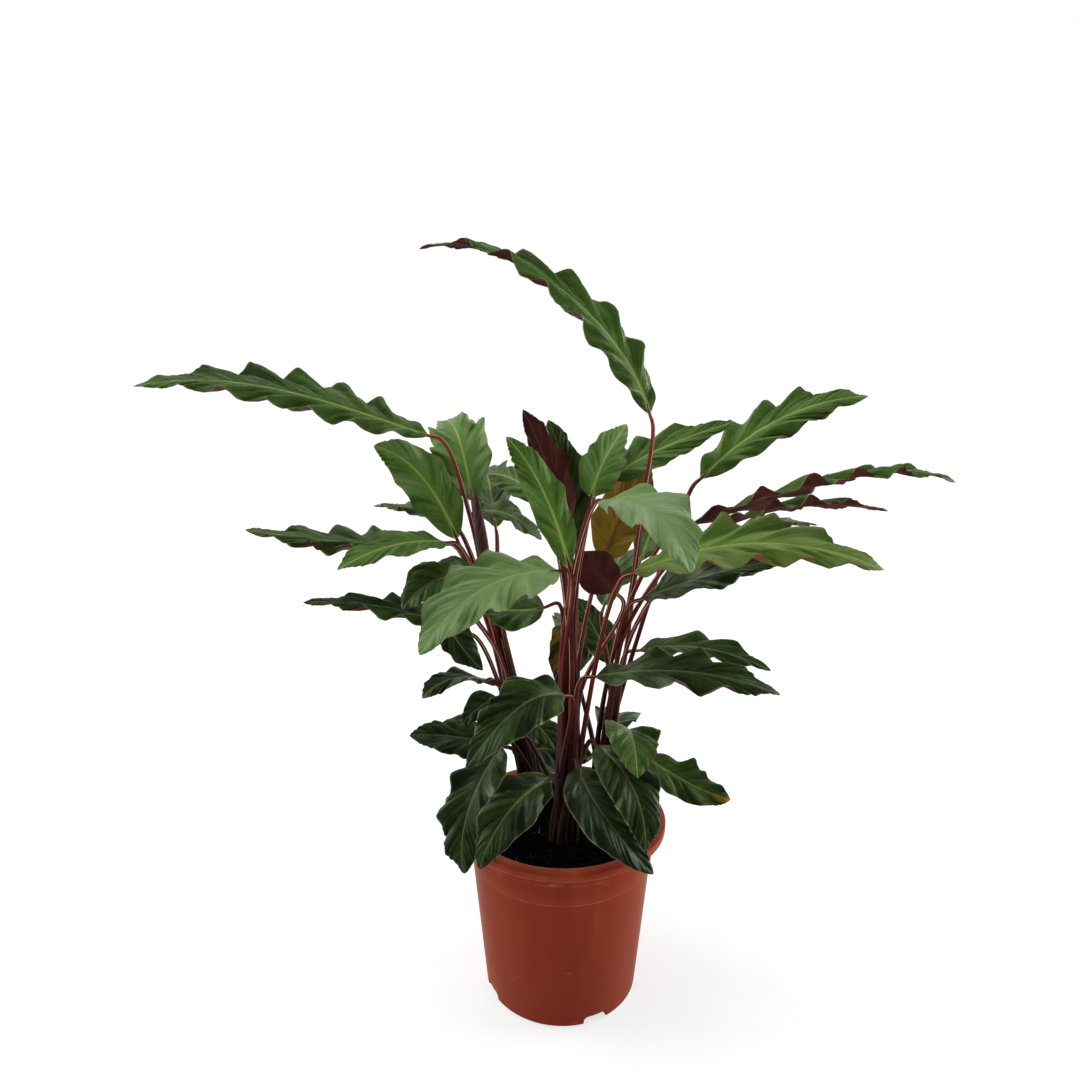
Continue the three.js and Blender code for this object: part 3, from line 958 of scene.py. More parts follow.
@dataclass(frozen=True)
class Leaf:
    """One leaf, in millimetres: where its blade joins the stalk, its middle and its tip."""

    join: Triple
    middle: Triple
    tip: Triple
    width: float = 38.0
    face: Triple = (0.0, -0.3, 1.0)
    tip_face: Triple | None = None
    sway: Triple = (0.0, 0.0, 0.0)
    leave: float | None = None
    furled: bool = False
    # tone: own lightness, lowered as painted shade on leaves lying under others; above 0.8 adds painted
    # sheen
    tone: float = 0.4
    crease: float = 1.0
    under: Under = Under.MAROON
    dryness: float = 0.0

    SWAY_SCALE = 32 / 3
    MEASURES = 24

    def rib_point(self, t: float) -> Vector:
        """A place on the midrib.

        Args:
            t: how far along it is, from 0 at the join to 1 at the tip.

        Returns:
            The place in millimetres.
        """
        near = 1 - t
        point = Vector(self.join) * near * (1 - 2 * t) + Vector(self.middle) * 4 * t * near
        point += Vector(self.tip) * t * (2 * t - 1)
        return point + Vector(self.sway) * self.SWAY_SCALE * t * near * (2 * t - 1)

    def rib_direction(self, t: float) -> Vector:
        """The direction in which the midrib runs.

        Args:
            t: how far along it is, from 0 to 1.

        Returns:
            The direction, with a length of 1.
        """
        along = Vector(self.join) * (4 * t - 3) + Vector(self.middle) * (4 - 8 * t)
        along += Vector(self.tip) * (4 * t - 1)
        along += Vector(self.sway) * self.SWAY_SCALE * (6 * t * (1 - t) - 1)
        return along.normalized()

    def length(self) -> float:
        """The length of the midrib in millimetres."""
        points = [self.rib_point(i / self.MEASURES) for i in range(self.MEASURES + 1)]
        return sum((b - a).length for a, b in zip(points, points[1:]))


@dataclass(frozen=True)
class Shoot:
    """A tight bundle of stalks and the leaves that it carries, in millimetres."""

    name: str
    axis: tuple[Triple, ...]
    spread: float
    leaves: tuple[Leaf, ...]

    def nodes(self, furled: bool) -> list[tuple[str, int, Leaf]]:
        """Lists the leaves that are rolled, or those that aren't.

        Args:
            furled: whether rolled leaves are asked for.

        Returns:
            The name of each leaf's solid, its number in the shoot from 0, and the leaf.
        """
        return [
            (f"{self.name}_leaf_{number + 1:02d}", number, leaf)
            for number, leaf in enumerate(self.leaves)
            if leaf.furled == furled
        ]

    def axis_point(self, height: float) -> Vector:
        """The middle of the bundle.

        Args:
            height: the height at which it is asked for.

        Returns:
            The place.
        """
        i = 0
        while i + 2 < len(self.axis) and self.axis[i + 1][2] < height:
            i += 1
        low, high = Vector(self.axis[i]), Vector(self.axis[i + 1])
        return low.lerp(high, (height - low.z) / (high.z - low.z))

    def heading(self, leaf: Leaf) -> float:
        """Which way a leaf's join lies from the axis, as an angle."""
        middle = self.axis_point(leaf.join[2])
        return math.atan2(leaf.join[1] - middle.y, leaf.join[0] - middle.x)

    def offsets(self) -> list[Vector]:
        """Each stalk's place in the bundle: on its leaf's side, and further in where the leaf is higher.

        Returns:
            The places, off the axis.
        """
        by_heading = sorted(self.leaves, key=self.heading)
        by_height = sorted(self.leaves, key=lambda leaf: -leaf.join[2])
        count = len(self.leaves)
        places = []
        for leaf in self.leaves:
            angle = TURN * by_heading.index(leaf) / count - math.pi
            ring = self.spread * math.sqrt((by_height.index(leaf) + 0.5) / count)
            places.append(Vector((ring * math.cos(angle), ring * math.sin(angle), 0)))
        return places


SHOOTS = (
    Shoot(
        name="left",
        axis=(
            (-17, 30, 105), (-22, 29, 134), (-31, 28, 180), (-39, 26, 215), (-45, 24, 245), (-51, 20, 290),
            (-61, 16, 334),
        ),
        spread=8,
        leaves=(
            Leaf(
                (-85, 8, 376), (-170, 4, 403), (-262, 0, 406), 34, (0, -0.6, 1), sway=(0, 0, 2),
                tone=0.55,
            ),
            Leaf((-60, 36, 331), (-70, 50, 372), (-84, 94, 380), 39, (0.1, -1, 0.5), tone=0.95, crease=0.4),
            Leaf(
                (-70, 26, 307), (-93, 26, 349), (-122, 24, 368), 32, (0.1, -1, 0.3), tone=0.92,
                crease=0.4,
            ),
            Leaf((-76, 45, 312), (-107, 75, 318), (-141, 105, 316), 24, (0, 0, 1), tone=0.35),
            Leaf((-82, 30, 301), (-146, 32, 303), (-213, 34, 311), 32, (0, -0.2, 1), tone=0.38),
            Leaf((-75, 5, 308), (-104, -18, 311), (-133, -40, 301), 32, (-0.2, -0.5, 1), tone=0.7),
            Leaf((-66, 14, 246), (-119, 20, 261), (-174, 24, 263), 30, (0, -0.1, 1), tone=0.3),
            Leaf((-78, -2, 272), (-71, -4, 251), (-52, 0, 224), 26, (-0.3, -1, 0.3), tone=0.12),
            Leaf((-56, 0, 286), (-80, -10, 287), (-99, -22, 272), 38, (-0.1, -0.6, 1), tone=0.35),
            Leaf((-43, 14, 208), (-70, 2, 218), (-91, -6, 207), 26, (0, 0.5, 1), (0, -0.6, 1), tone=0.25),
            Leaf((-43, 16, 197), (-55, 11, 194), (-67, 4, 184), 20, (0, -0.6, 1), tone=0.2),
            Leaf((-42, 22, 160), (-74, 24, 166), (-105, 22, 168), 34, (0, -0.5, 1), tone=0.15),
            Leaf((-53, 34, 323), (-35, 50, 318), (-13, 60, 299), 30, (0.1, -0.5, 1), tone=0.35),
            Leaf((-49, 6, 292), (-53, 8, 316), (-56, 13, 342), furled=True),
            Leaf((-41, 0, 170), (-59, -44, 148), (-62, -50, 110), 37, (-0.4, -0.9, 0.5), tone=0.15),
            Leaf((-46, 62, 308), (-56, 130, 338), (-62, 200, 326), 36, (0, 0.3, 1), tone=0.4),
            Leaf((-34, 62, 150), (-48, 100, 152), (-62, 136, 122), 34, (-0.2, 0.4, 1), tone=0.2),
            Leaf((-24, 47, 146), (-1, 53, 142), (25, 57, 134), 32, (0, -1, 0.7), tone=0.1),
        ),
    ),
    Shoot(
        name="centre",
        axis=((1, -18, 105), (3, -19, 140), (5, -22, 213), (4, -24, 253), (4, -26, 300)),
        spread=8.5,
        leaves=(
            Leaf(
                (-4, -30, 298), (-46, -72, 298), (-76, -105, 272), 42, (-0.2, -0.75, 1), tone=1.08,
                crease=2.0,
            ),
            Leaf((-12, -12, 270), (-30, -8, 267), (-52, -2, 268), 32, (0, -0.8, 1), tone=0.35),
            Leaf((3, -28, 300), (-13, -16, 345), (-35, -6, 376), 23, (0.2, -1, 0.1), tone=0.85),
            Leaf((3, 4, 317), (-9, 6, 358), (-25, 4, 392), 25, (0.5, 0.9, 0.3), tone=0.6),
            Leaf((9, 20, 303), (2, 28, 349), (-9, 36, 384), 27, (0.1, -0.9, 0.5), tone=0.24),
            Leaf((18, 4, 338), (26, 14, 359), (43, 40, 381), 27, (0.2, -1, 0.5), tone=0.85),
            Leaf((30, 22, 346), (65, 36, 365), (115, 46, 382), 29, (0.1, -0.7, 1), tone=0.65),
            Leaf(
                (42, -34, 298), (109, -50, 319), (178, -60, 306), 40, (0, -0.45, 1), leave=150, tone=0.92,
                under=Under.BRONZE,
            ),
            Leaf(
                (23, -40, 342), (46, -80, 342), (60, -112, 317), 40, (0.3, -0.9, 0.8), tone=1.15,
                crease=1.0,
            ),
            Leaf((20, -32, 232), (74, -48, 241), (125, -58, 231), 36, (0, -0.25, 1), tone=0.25),
            Leaf((41, -16, 190), (41, -50, 200), (41, -76, 188), 33, (0.1, -0.5, 1), tone=0.52),
            Leaf((21, -34, 187), (39, -74, 180), (45, -88, 150), 31, (0.3, -1, 0.6), tone=0.15),
            # this leaf's low tone paints the shade of the leaves over it
            Leaf((9, -34, 173), (23, -64, 158), (51, -80, 130), 33, (0.2, -0.9, 0.7), tone=0.02),
            Leaf((0, -38, 222), (-26, -64, 226), (-56, -80, 196), 34, (-0.2, -0.9, 0.8), tone=0.2),
            Leaf((-8, -34, 165), (-33, -66, 161), (-50, -74, 129), 30, (-0.2, -1, 0.6), tone=0.2),
            Leaf((-27, 8, 191), (-14, -2, 184), (-4, -10, 173), 22, (0.1, -0.6, 1), tone=0.2),
            Leaf((9, 30, 249), (5, 44, 219), (1, 50, 190), 28, (0.1, 1, 0.2), tone=0.15, under=Under.OLIVE),
            Leaf(
                (28, 34, 291), (43, 42, 324), (60, 52, 355), 36, (0.4, 1, 0.3), tone=0.5,
                under=Under.OLIVE,
            ),
            Leaf((32, -6, 279), (21, -3, 291), (9, 0, 303), 28, (0, 1, 0.3), tone=0.3),
            Leaf((-14, 50, 327), (-32, 75, 339), (-53, 100, 341), 28, (0, -0.8, 1), tone=0.5),
            Leaf((0, 62, 318), (-4, 130, 344), (-6, 198, 336), 36, (0, 0.2, 1), tone=0.4),
        ),
    ),
    Shoot(
        name="right",
        axis=(
            (28, 30, 105), (30, 29, 150), (36, 26, 194), (42, 23, 238), (46, 20, 262), (50, 17, 290),
            (53, 14, 330),
        ),
        spread=8,
        leaves=(
            Leaf(
                (54, 12, 390), (-4, 0, 464), (-84, -10, 484), 33, (0.3, -1, 0.5), (0, 0.15, 1), (-4, 0, 3),
                tone=0.55,
            ),
            Leaf((95, 44, 345), (149, 54, 384), (210, 60, 399), 34, (-0.1, -0.7, 1), leave=150, tone=0.7),
            Leaf(
                (81, 14, 318), (170, 0, 349), (238, -12, 349), 32, (0, 0.6, 1), (0, -0.25, 1), (0, 0, 2),
                tone=0.5,
            ),
            Leaf((88, 34, 302), (151, 40, 325), (223, 44, 322), 30, (0, 0.3, 1), tone=0.45),
            Leaf((99, 60, 295), (152, 86, 305), (197, 104, 301), 26, (0, -0.1, 1), tone=0.4),
            # this leaf's low tone paints the shade of the leaf above it
            Leaf((52, 2, 272), (94, -6, 290), (139, -12, 301), 37, (0, -0.25, 1), tone=0.12),
            Leaf((55, 36, 225), (98, 26, 230), (140, 12, 219), 31, (0, -0.2, 1), tone=0.3),
            Leaf((56, 4, 162), (84, -10, 149), (109, -20, 143), 28, (0.1, -0.8, 1), tone=0.4, dryness=1.0),
            Leaf((57, 60, 284), (70, 84, 309), (79, 100, 326), 24, (0, -0.6, 1), tone=0.5),
            Leaf((36, 46, 212), (25, 60, 233), (13, 74, 252), 24, (0.1, -1, 0.4), tone=0.3),
            Leaf((32, 62, 250), (50, 130, 272), (60, 198, 244), 37, (0, 0.2, 1), tone=0.35),
            Leaf((14, 62, 200), (14, 130, 216), (10, 194, 190), 35, (0, 0.2, 1), tone=0.3),
            Leaf((36, 60, 150), (48, 96, 152), (56, 130, 126), 33, (0.2, 0.4, 1), tone=0.2),
        ),
    ),
)


@dataclass
class Blades:
    """The waved blades. Rows of the mesh follow the lateral veins. Lengths are in metres."""

    upper: bpy.types.Material
    under: bpy.types.Material
    skew: float = 0.8
    fullness: float = 0.7
    end_half_width: float = 1.3 * MM
    end_swell: float = 1.35
    end_length: float = 3 * MM
    thickness: float = 0.55 * MM
    margin_bevel: float = 5.0
    cup: float = 0.30
    margin_lift: float = 0.05

    wave_pitch: float = 27 * MM
    wave_rise: float = 0.13
    wave_full_length: float = 130 * MM
    wave_scallop: float = 0.07
    wave_growth: float = 1.25
    vein_lag: float = 0.5
    margin_phase: float = 1.2
    phase_step: float = 2.4
    crest: float = 0.24

    drift_scale: float = 90.0
    drift_spread: float = 1.5
    drift_rise: float = 0.30
    drift_growth: float = 1.5
    drift_scallop: float = 2.0

    vein_pitch: float = VEIN_PITCH
    vein_lead: float = 2.1
    greatest_lead: float = 0.32
    lead_growth: float = 1.6
    lead_bend: float = 0.85
    vein_depth: float = 0.15 * MM
    vein_gain: float = 4.5
    vein_floor: float = 1.6
    margin_gain: float = 6.0
    strength_run: float = 0.6
    strength_reach: float = 3.5
    margin_scallop: float = 0.7 * MM
    scallop_phase: float = 0.8

    calm_length: float = 90 * MM
    fold_pitch: float = 9.0 * MM
    fold_depth: float = 6.0 * MM
    fold_detail: float = 1.8
    fold_share: float = 1.75
    fold_fade: float = 0.95
    # how much the folds paint light on their crests and shade in their hollows, through the tone
    fold_painted_shading: float = 0.9

    rib_depth: float = 0.45 * MM
    groove_width: float = 1.6 * MM
    rib_height: float = 1.0 * MM
    keel_width: float = 2.0 * MM
    keel_reach: float = 1.25
    rib_swell: float = 1.8
    rib_taper: float = 1.45

    rows_per_vein: int = 8
    least_rows: int = 24
    columns: int = 11
    column_crowding: float = 1.4
    merge_distance: float = 0.002 * MM
    map_middle: float = 0.25
    map_half_width: float = 0.23
    map_border: float = 0.02
    sharp_angle: float = 60.0

    def build(self, shoots: Sequence[Shoot]) -> None:
        """Makes and registers one piece for each blade.

        Args:
            shoots: the shoots that carry the blades.
        """
        recipe = BladeRecipe(self)
        made: dict[str, bpy.types.Object] = {}
        for shoot in shoots:
            for node, number, leaf in shoot.nodes(furled=False):
                made[node] = new_piece(f"{node}_blade")
                recipe.use_on(made[node], self.inputs(leaf, self.phase_step * number))
        hand_in(made, "leaf", self.sharp_angle)

    def inputs(self, leaf: Leaf, phase: float) -> dict[str, Any]:
        """The recipe's inputs for one leaf.

        Args:
            leaf: the leaf.
            phase: where its waves start.

        Returns:
            A value for each named input, with lengths in metres.
        """
        length = leaf.length() * MM
        calm = min(1.0, self.calm_length / length)
        places = {"Join": leaf.join, "Middle": leaf.middle, "Tip": leaf.tip, "Sway": leaf.sway}
        values: dict[str, Any] = {
            name: tuple(coordinate * MM for coordinate in place) for name, place in places.items()
        }
        return values | {
            "Face": tuple(map(float, leaf.face)),
            "Tip face": tuple(map(float, leaf.tip_face or leaf.face)),
            "Tone": (leaf.tone, leaf.under.value, leaf.dryness),
            "Length": length,
            "Width": leaf.width * MM,
            "Phase": phase,
            "Fold": leaf.crease * (self.fold_share - self.fold_fade * leaf.tone) * calm,
            "Wave": self.wave_rise * min(1.0, length / self.wave_full_length),
            "Rows": max(self.least_rows, round(length / self.vein_pitch * self.rows_per_vein)),
            "Upper": self.upper,
            "Under": self.under,
        }


class BladeRecipe(Recipe):
    """The tree that grows one blade: an upper and a lower sheet that meet along the margin."""

    def __init__(self, form: Blades) -> None:
        """Makes the whole tree.

        Args:
            form: the sizes that the blades share.
        """
        kinds = {
            "Vector": ("Join", "Middle", "Tip", "Sway", "Face", "Tip face", "Tone"),
            "Float": ("Length", "Width", "Phase", "Fold", "Wave"),
            "Int": ("Rows",),
            "Material": ("Upper", "Under"),
        }
        super().__init__("blade", {label: kind for kind, labels in kinds.items() for label in labels})
        self.form = form
        self.length, self.width = self.number("Length"), self.number("Width")
        self.run, self.side = self.attribute("run"), self.attribute("side").apply("SIGN")
        self.reach = self.attribute("side").size() ** form.column_crowding
        # Each half of each blade has a number of its own, which sets its noise apart.
        self.own = self.side * 3.0 + self.number("Phase") * 7.0

        sheet = self.flat_sheet()
        sheets = []
        for label, place, shift in zip(("Upper", "Under"), self.faces(), (0.0, 0.5)):
            mesh = self.mapped(self.moved(sheet, place), shift)
            if label == "Under":
                mesh = self.graph.node("GeometryNodeFlipFaces", None, {"Mesh": mesh}).outputs["Mesh"]
            sheets.append(self.dressed(mesh, label))
        merging = {"Geometry": self.joined(*sheets), "Distance": form.merge_distance}
        self.finish(self.graph.node("GeometryNodeMergeByDistance", None, merging).outputs["Geometry"])

    def flat_sheet(self) -> bpy.types.NodeSocket:
        """A grid that stores how far each point is along the blade and to its side.

        Returns:
            The grid, with the attributes run, from 0 to 1, and side, from -1 to 1.
        """
        graph = self.graph
        size = {"Size X": 1.0, "Size Y": 1.0}
        counts = {"Vertices X": self.number("Rows"), "Vertices Y": 2 * self.form.columns + 1}
        grid = graph.node("GeometryNodeMeshGrid", None, size | counts)
        cutting = {"Mesh": grid.outputs["Mesh"]}
        cut = graph.node("GeometryNodeTriangulate", {"quad_method": "FIXED"}, cutting)
        x, y, _ = self.position().parts()
        mesh = self.store(cut.outputs["Mesh"], "run", x + 0.5)
        mesh = self.store(mesh, "side", y * 2.0)
        mesh = self.store(mesh, "place", self.pattern_place(), "FLOAT_VECTOR")
        # painted light and shade: the tone rises on the crests of the soft folds and falls in their hollows
        tone = self.place("Tone") + graph.vector(self.fold() * self.form.fold_painted_shading, 0.0, 0.0)
        return self.store(mesh, "tone", tone, "FLOAT_VECTOR")

    def mapped(self, mesh: bpy.types.NodeSocket, shift: float) -> bpy.types.NodeSocket:
        """Lays a sheet out flat on its own half of the bake map.

        Args:
            mesh: the sheet.
            shift: where its half of the map starts.

        Returns:
            The sheet with the map.
        """
        form = self.form
        across = self.attribute("side") * form.map_half_width + (form.map_middle + shift)
        along = self.run * (1 - 2 * form.map_border) + form.map_border
        return self.store(mesh, BAKE_MAP, self.graph.vector(across, along, 0.0), "FLOAT2", "CORNER")

    def outline(self, share: Value) -> Value:
        """Half the blade's width as a share of its greatest, from the way along it."""
        arch = ((share ** self.form.skew) * math.pi).apply("SINE")
        return arch.at_least(0.0) ** self.form.fullness

    def vein(self) -> Value:
        """How many lateral veins come before this place. Their spacing varies a little."""
        even = self.run * self.length / self.form.vein_pitch
        return even + (self.graph.noise(self.graph.vector(even * 0.5, self.own, 7.0), 1.0, 1.0) - 0.5)

    def lead(self) -> Value:
        """How far along a vein gets on its way to the margin, as a share of the length."""
        slant = (self.width * (0.5 * self.form.vein_lead) / self.length).at_most(self.form.greatest_lead)
        return self.outline(self.run) ** self.form.lead_growth * slant

    def fold(self) -> Value:
        """How high the soft folds are, about 0. They run out to the margin with the veins.

        Returns:
            The height.
        """
        place = self.graph.vector(self.run * self.length / self.form.fold_pitch, self.own, 0.0)
        height = self.graph.noise(place, 1.0, self.form.fold_detail) - 0.5
        return height * self.reach.ramp(0.0, 0.5)

    def pattern_place(self) -> Place:
        """Where the finishes read their patterns.

        Returns:
            The way along the blade, the way across it, and the reach.
        """
        form = self.form
        half = self.width * 0.5 * self.outline(self.run)
        across = self.side * self.reach * half / (form.rib_swell - self.run * form.rib_taper)
        return self.graph.vector(self.vein() * form.vein_pitch, across, self.reach)

    def rib_frame(self, t: Value) -> tuple[Place, Place, Place]:
        """The midrib, which is the curve of Leaf.rib_point.

        Args:
            t: how far along it is.

        Returns:
            The place on the midrib, and the directions across the blade and up from it.
        """
        near = 1.0 - t
        join, middle, tip, sway = (self.place(name) for name in ("Join", "Middle", "Tip", "Sway"))
        rib = join * (near * (1.0 - t * 2.0)) + middle * (t * near * 4.0) + tip * (t * (t * 2.0 - 1.0))
        rib = rib + sway * (t * near * (t * 2.0 - 1.0) * Leaf.SWAY_SCALE)
        along = join * (t * 4.0 - 3.0) + middle * (4.0 - t * 8.0) + tip * (t * 4.0 - 1.0)
        along = (along + sway * ((t * near * 6.0 - 1.0) * Leaf.SWAY_SCALE)).unit()
        up = self.place("Face") * near + self.place("Tip face") * t
        up = (up - along * along.dot(up)).unit()
        return rib, along.cross(up), up

    def faces(self) -> tuple[Place, Place]:
        """The places of the sheets' points.

        Returns:
            The upper and the lower place.
        """
        form, graph = self.form, self.graph
        run, side, reach = self.run, self.side, self.reach
        lead = self.lead()
        t = (run + lead * reach ** form.lead_bend).at_most(1.0)
        share = self.outline(t)
        half = (self.width * 0.5 * share).at_least((form.end_swell - t) * form.end_half_width)
        rib, across, up = self.rib_frame(t)

        front = (run + lead) * self.length
        turn = front * (TURN / form.wave_pitch) - form.vein_lag * math.pi
        turn = turn + self.number("Phase") + side * form.margin_phase
        ruffle = turn.apply("SINE") - (turn * 2.0).apply("COSINE") * form.crest
        ruffle = ruffle * share * reach ** form.wave_growth
        drifting = graph.vector(front * form.drift_scale, self.own, reach * form.drift_spread)
        drift = graph.noise(drifting, 1.0, 2.0) - 0.5
        wander = drift * share * reach ** form.drift_growth * form.drift_rise
        rise = self.width * (self.number("Wave") * ruffle + wander)
        rise = rise + half * reach * form.margin_lift + half * reach * (1.0 - reach) * form.cup

        relief = self.fold() * share * self.number("Fold") * form.fold_depth
        vein = self.vein()
        puckering = graph.vector(vein * form.strength_run, self.own, reach * form.strength_reach)
        pucker = graph.noise(puckering, 1.0, 1.0)
        strength = (pucker * form.vein_gain - form.vein_floor).at_least(0.0) * share
        growth = reach.ramp(0.02, 0.25) * (1.0 + reach * form.margin_gain)
        relief = relief - (vein * TURN).apply("COSINE") * growth * strength * form.vein_depth
        scallop = (vein * TURN - form.scallop_phase).apply("SINE") * reach ** 3.0
        distance = half * reach
        groove = distance.ramp(form.groove_width, 0.0) * (1.0 - t) * -form.rib_depth
        keel = distance.ramp(form.keel_width, 0.0) * (form.keel_reach - t) * form.rib_height
        ends = (run * self.length).at_most((1.0 - run) * self.length).ramp(0.0, form.end_length)
        body = ends * (1.0 - reach ** form.margin_bevel)

        swing = (ruffle + drift * reach ** 3.0 * form.drift_scallop) * form.wave_scallop
        out = side * (half * (reach + swing) + scallop * strength * form.margin_scallop)
        middle = rib + across * out + up * (rise + relief + groove * body)
        upper = middle + up * (body * (0.5 * form.thickness))
        lower = middle - up * (body * (keel + 0.5 * form.thickness))
        return upper, lower


# Stalks and rolled leaves


@dataclass
class Strand:
    """A path in millimetres with a radius at each point, and a number of its own for its colour."""

    points: list[Vector]
    radii: list[float]
    own: float


def strand_mesh(name: str, strands: Sequence[Strand]) -> bpy.types.Mesh:
    """Makes a mesh of edges that stores each point's radius and own number.

    Args:
        name: the mesh's name.
        strands: the paths.

    Returns:
        The mesh, in metres, with the attributes thick and own.
    """
    points: list[tuple[float, ...]] = []
    edges: list[tuple[int, int]] = []
    for strand in strands:
        first = len(points)
        points += [tuple(point * MM) for point in strand.points]
        edges += [(i, i + 1) for i in range(first, len(points) - 1)]
    mesh = plain_mesh(name, points, edges)
    thick = [radius * MM for strand in strands for radius in strand.radii]
    own = [strand.own for strand in strands for _ in strand.points]
    for label, numbers in (("thick", thick), ("own", own)):
        mesh.attributes.new(label, "FLOAT", "POINT").data.foreach_set("value", numbers)
    return mesh


def swept(
    recipe: Recipe, sides: int, shape: Callable[[Value], Value], twist: float
) -> bpy.types.NodeSocket:
    """Sweeps a closed profile along the strands.

    Args:
        recipe: the tree, whose Geometry is a mesh of strands and which has a material named Skin.
        sides: how many sides the profile has.
        shape: the profile's radius from the way round it, for a radius of about 1.
        twist: how far the profile turns for each metre.

    Returns:
        The skin, which stores its place round and along the strand.
    """
    graph = recipe.graph
    lines = graph.node("GeometryNodeMeshToCurve", None, {"Mesh": recipe.socket("Geometry")})
    length = Value(graph, graph.node("GeometryNodeSplineParameter").outputs["Length"])
    curve = recipe.store(lines.outputs["Curve"], "along", length)
    turned = graph.node("GeometryNodeSetCurveTilt", None, {"Curve": curve, "Tilt": length * twist})

    ring = graph.node("GeometryNodeCurvePrimitiveCircle", None, {"Resolution": sides, "Radius": 1.0})
    share = Value(graph, graph.node("GeometryNodeSplineParameter").outputs["Factor"])
    profile = recipe.store(ring.outputs["Curve"], "around", (share * 2.0 - 1.0).size())
    inputs = {
        "Curve": turned.outputs["Curve"],
        "Profile Curve": recipe.moved(profile, recipe.position() * shape(share)),
        "Scale": recipe.attribute("thick"),
        "Fill Caps": True,
    }
    skin = graph.node("GeometryNodeCurveToMesh", None, inputs).outputs["Mesh"]
    place = graph.vector(*(recipe.attribute(name) for name in ("around", "along", "own")))
    return recipe.dressed(recipe.store(skin, "place", place, "FLOAT_VECTOR"), "Skin")


def smooth_path(bends: Sequence[Vector], parts: int) -> list[Vector]:
    """A centripetal Catmull-Rom path.

    Args:
        bends: the points that it passes.
        parts: how many pieces each stretch is cut in.

    Returns:
        The points of the path.
    """
    padded = [bends[0] * 2 - bends[1], *bends, bends[-1] * 2 - bends[-2]]
    path = [bends[0]]
    for stretch in zip(padded, padded[1:], padded[2:], padded[3:]):
        knots = [0.0]
        for a, b in zip(stretch, stretch[1:]):
            knots.append(knots[-1] + math.sqrt((b - a).length))
        for k in range(1, parts + 1):
            level: list[Vector] = list(stretch)
            at = knots[1] + (knots[2] - knots[1]) * k / parts
            for lows, highs in ((knots, knots[1:]), (knots, knots[2:]), (knots[1:], knots[2:3])):
                level = [
                    a.lerp(b, (at - low) / (high - low))
                    for a, b, low, high in zip(level, level[1:], lows, highs)
                ]
            path.append(level[0])
    return path


def scattered(
    recipe: Recipe,
    ground: Mapping[str, Any],
    shape: bpy.types.Node,
    tilt: float,
    sizes: tuple[float, float],
    label: str,
) -> bpy.types.NodeSocket:
    """Puts a small shape on many spots of a mesh, each turned and scaled by chance.

    Args:
        recipe: the tree.
        ground: the mesh, the density for each square metre, the seed, and which faces get the shape.
        shape: the node that makes the shape.
        tilt: how far each is turned at most, in radians.
        sizes: the least and the greatest scale.
        label: the tree's input with the shape's material.

    Returns:
        The shapes, made real and dressed.
    """
    graph = recipe.graph
    spots = graph.node("GeometryNodeDistributePointsOnFaces", None, ground)
    spread = {"Min": (-tilt, -tilt, -math.pi), "Max": (tilt, tilt, math.pi), "Seed": TURN_SEED}
    angles = graph.node("FunctionNodeRandomValue", {"data_type": "FLOAT_VECTOR"}, spread)
    turning = {"Rotation": spots.outputs["Rotation"], "Rotate By": angles.outputs["Value"]}
    turned = graph.node("FunctionNodeRotateRotation", {"rotation_space": "LOCAL"}, turning)
    scaling = {"Min_001": sizes[0], "Max_001": sizes[1], "Seed": SIZE_SEED}
    scale = graph.node("FunctionNodeRandomValue", {"data_type": "FLOAT"}, scaling)
    inputs = {
        "Points": spots.outputs["Points"],
        "Instance": shape.outputs["Mesh"],
        "Rotation": turned.outputs["Rotation"],
        "Scale": graph.pick(scale.outputs, "Value_001"),
    }
    placed = graph.node("GeometryNodeInstanceOnPoints", None, inputs)
    return recipe.dressed(placed.outputs["Instances"], label)


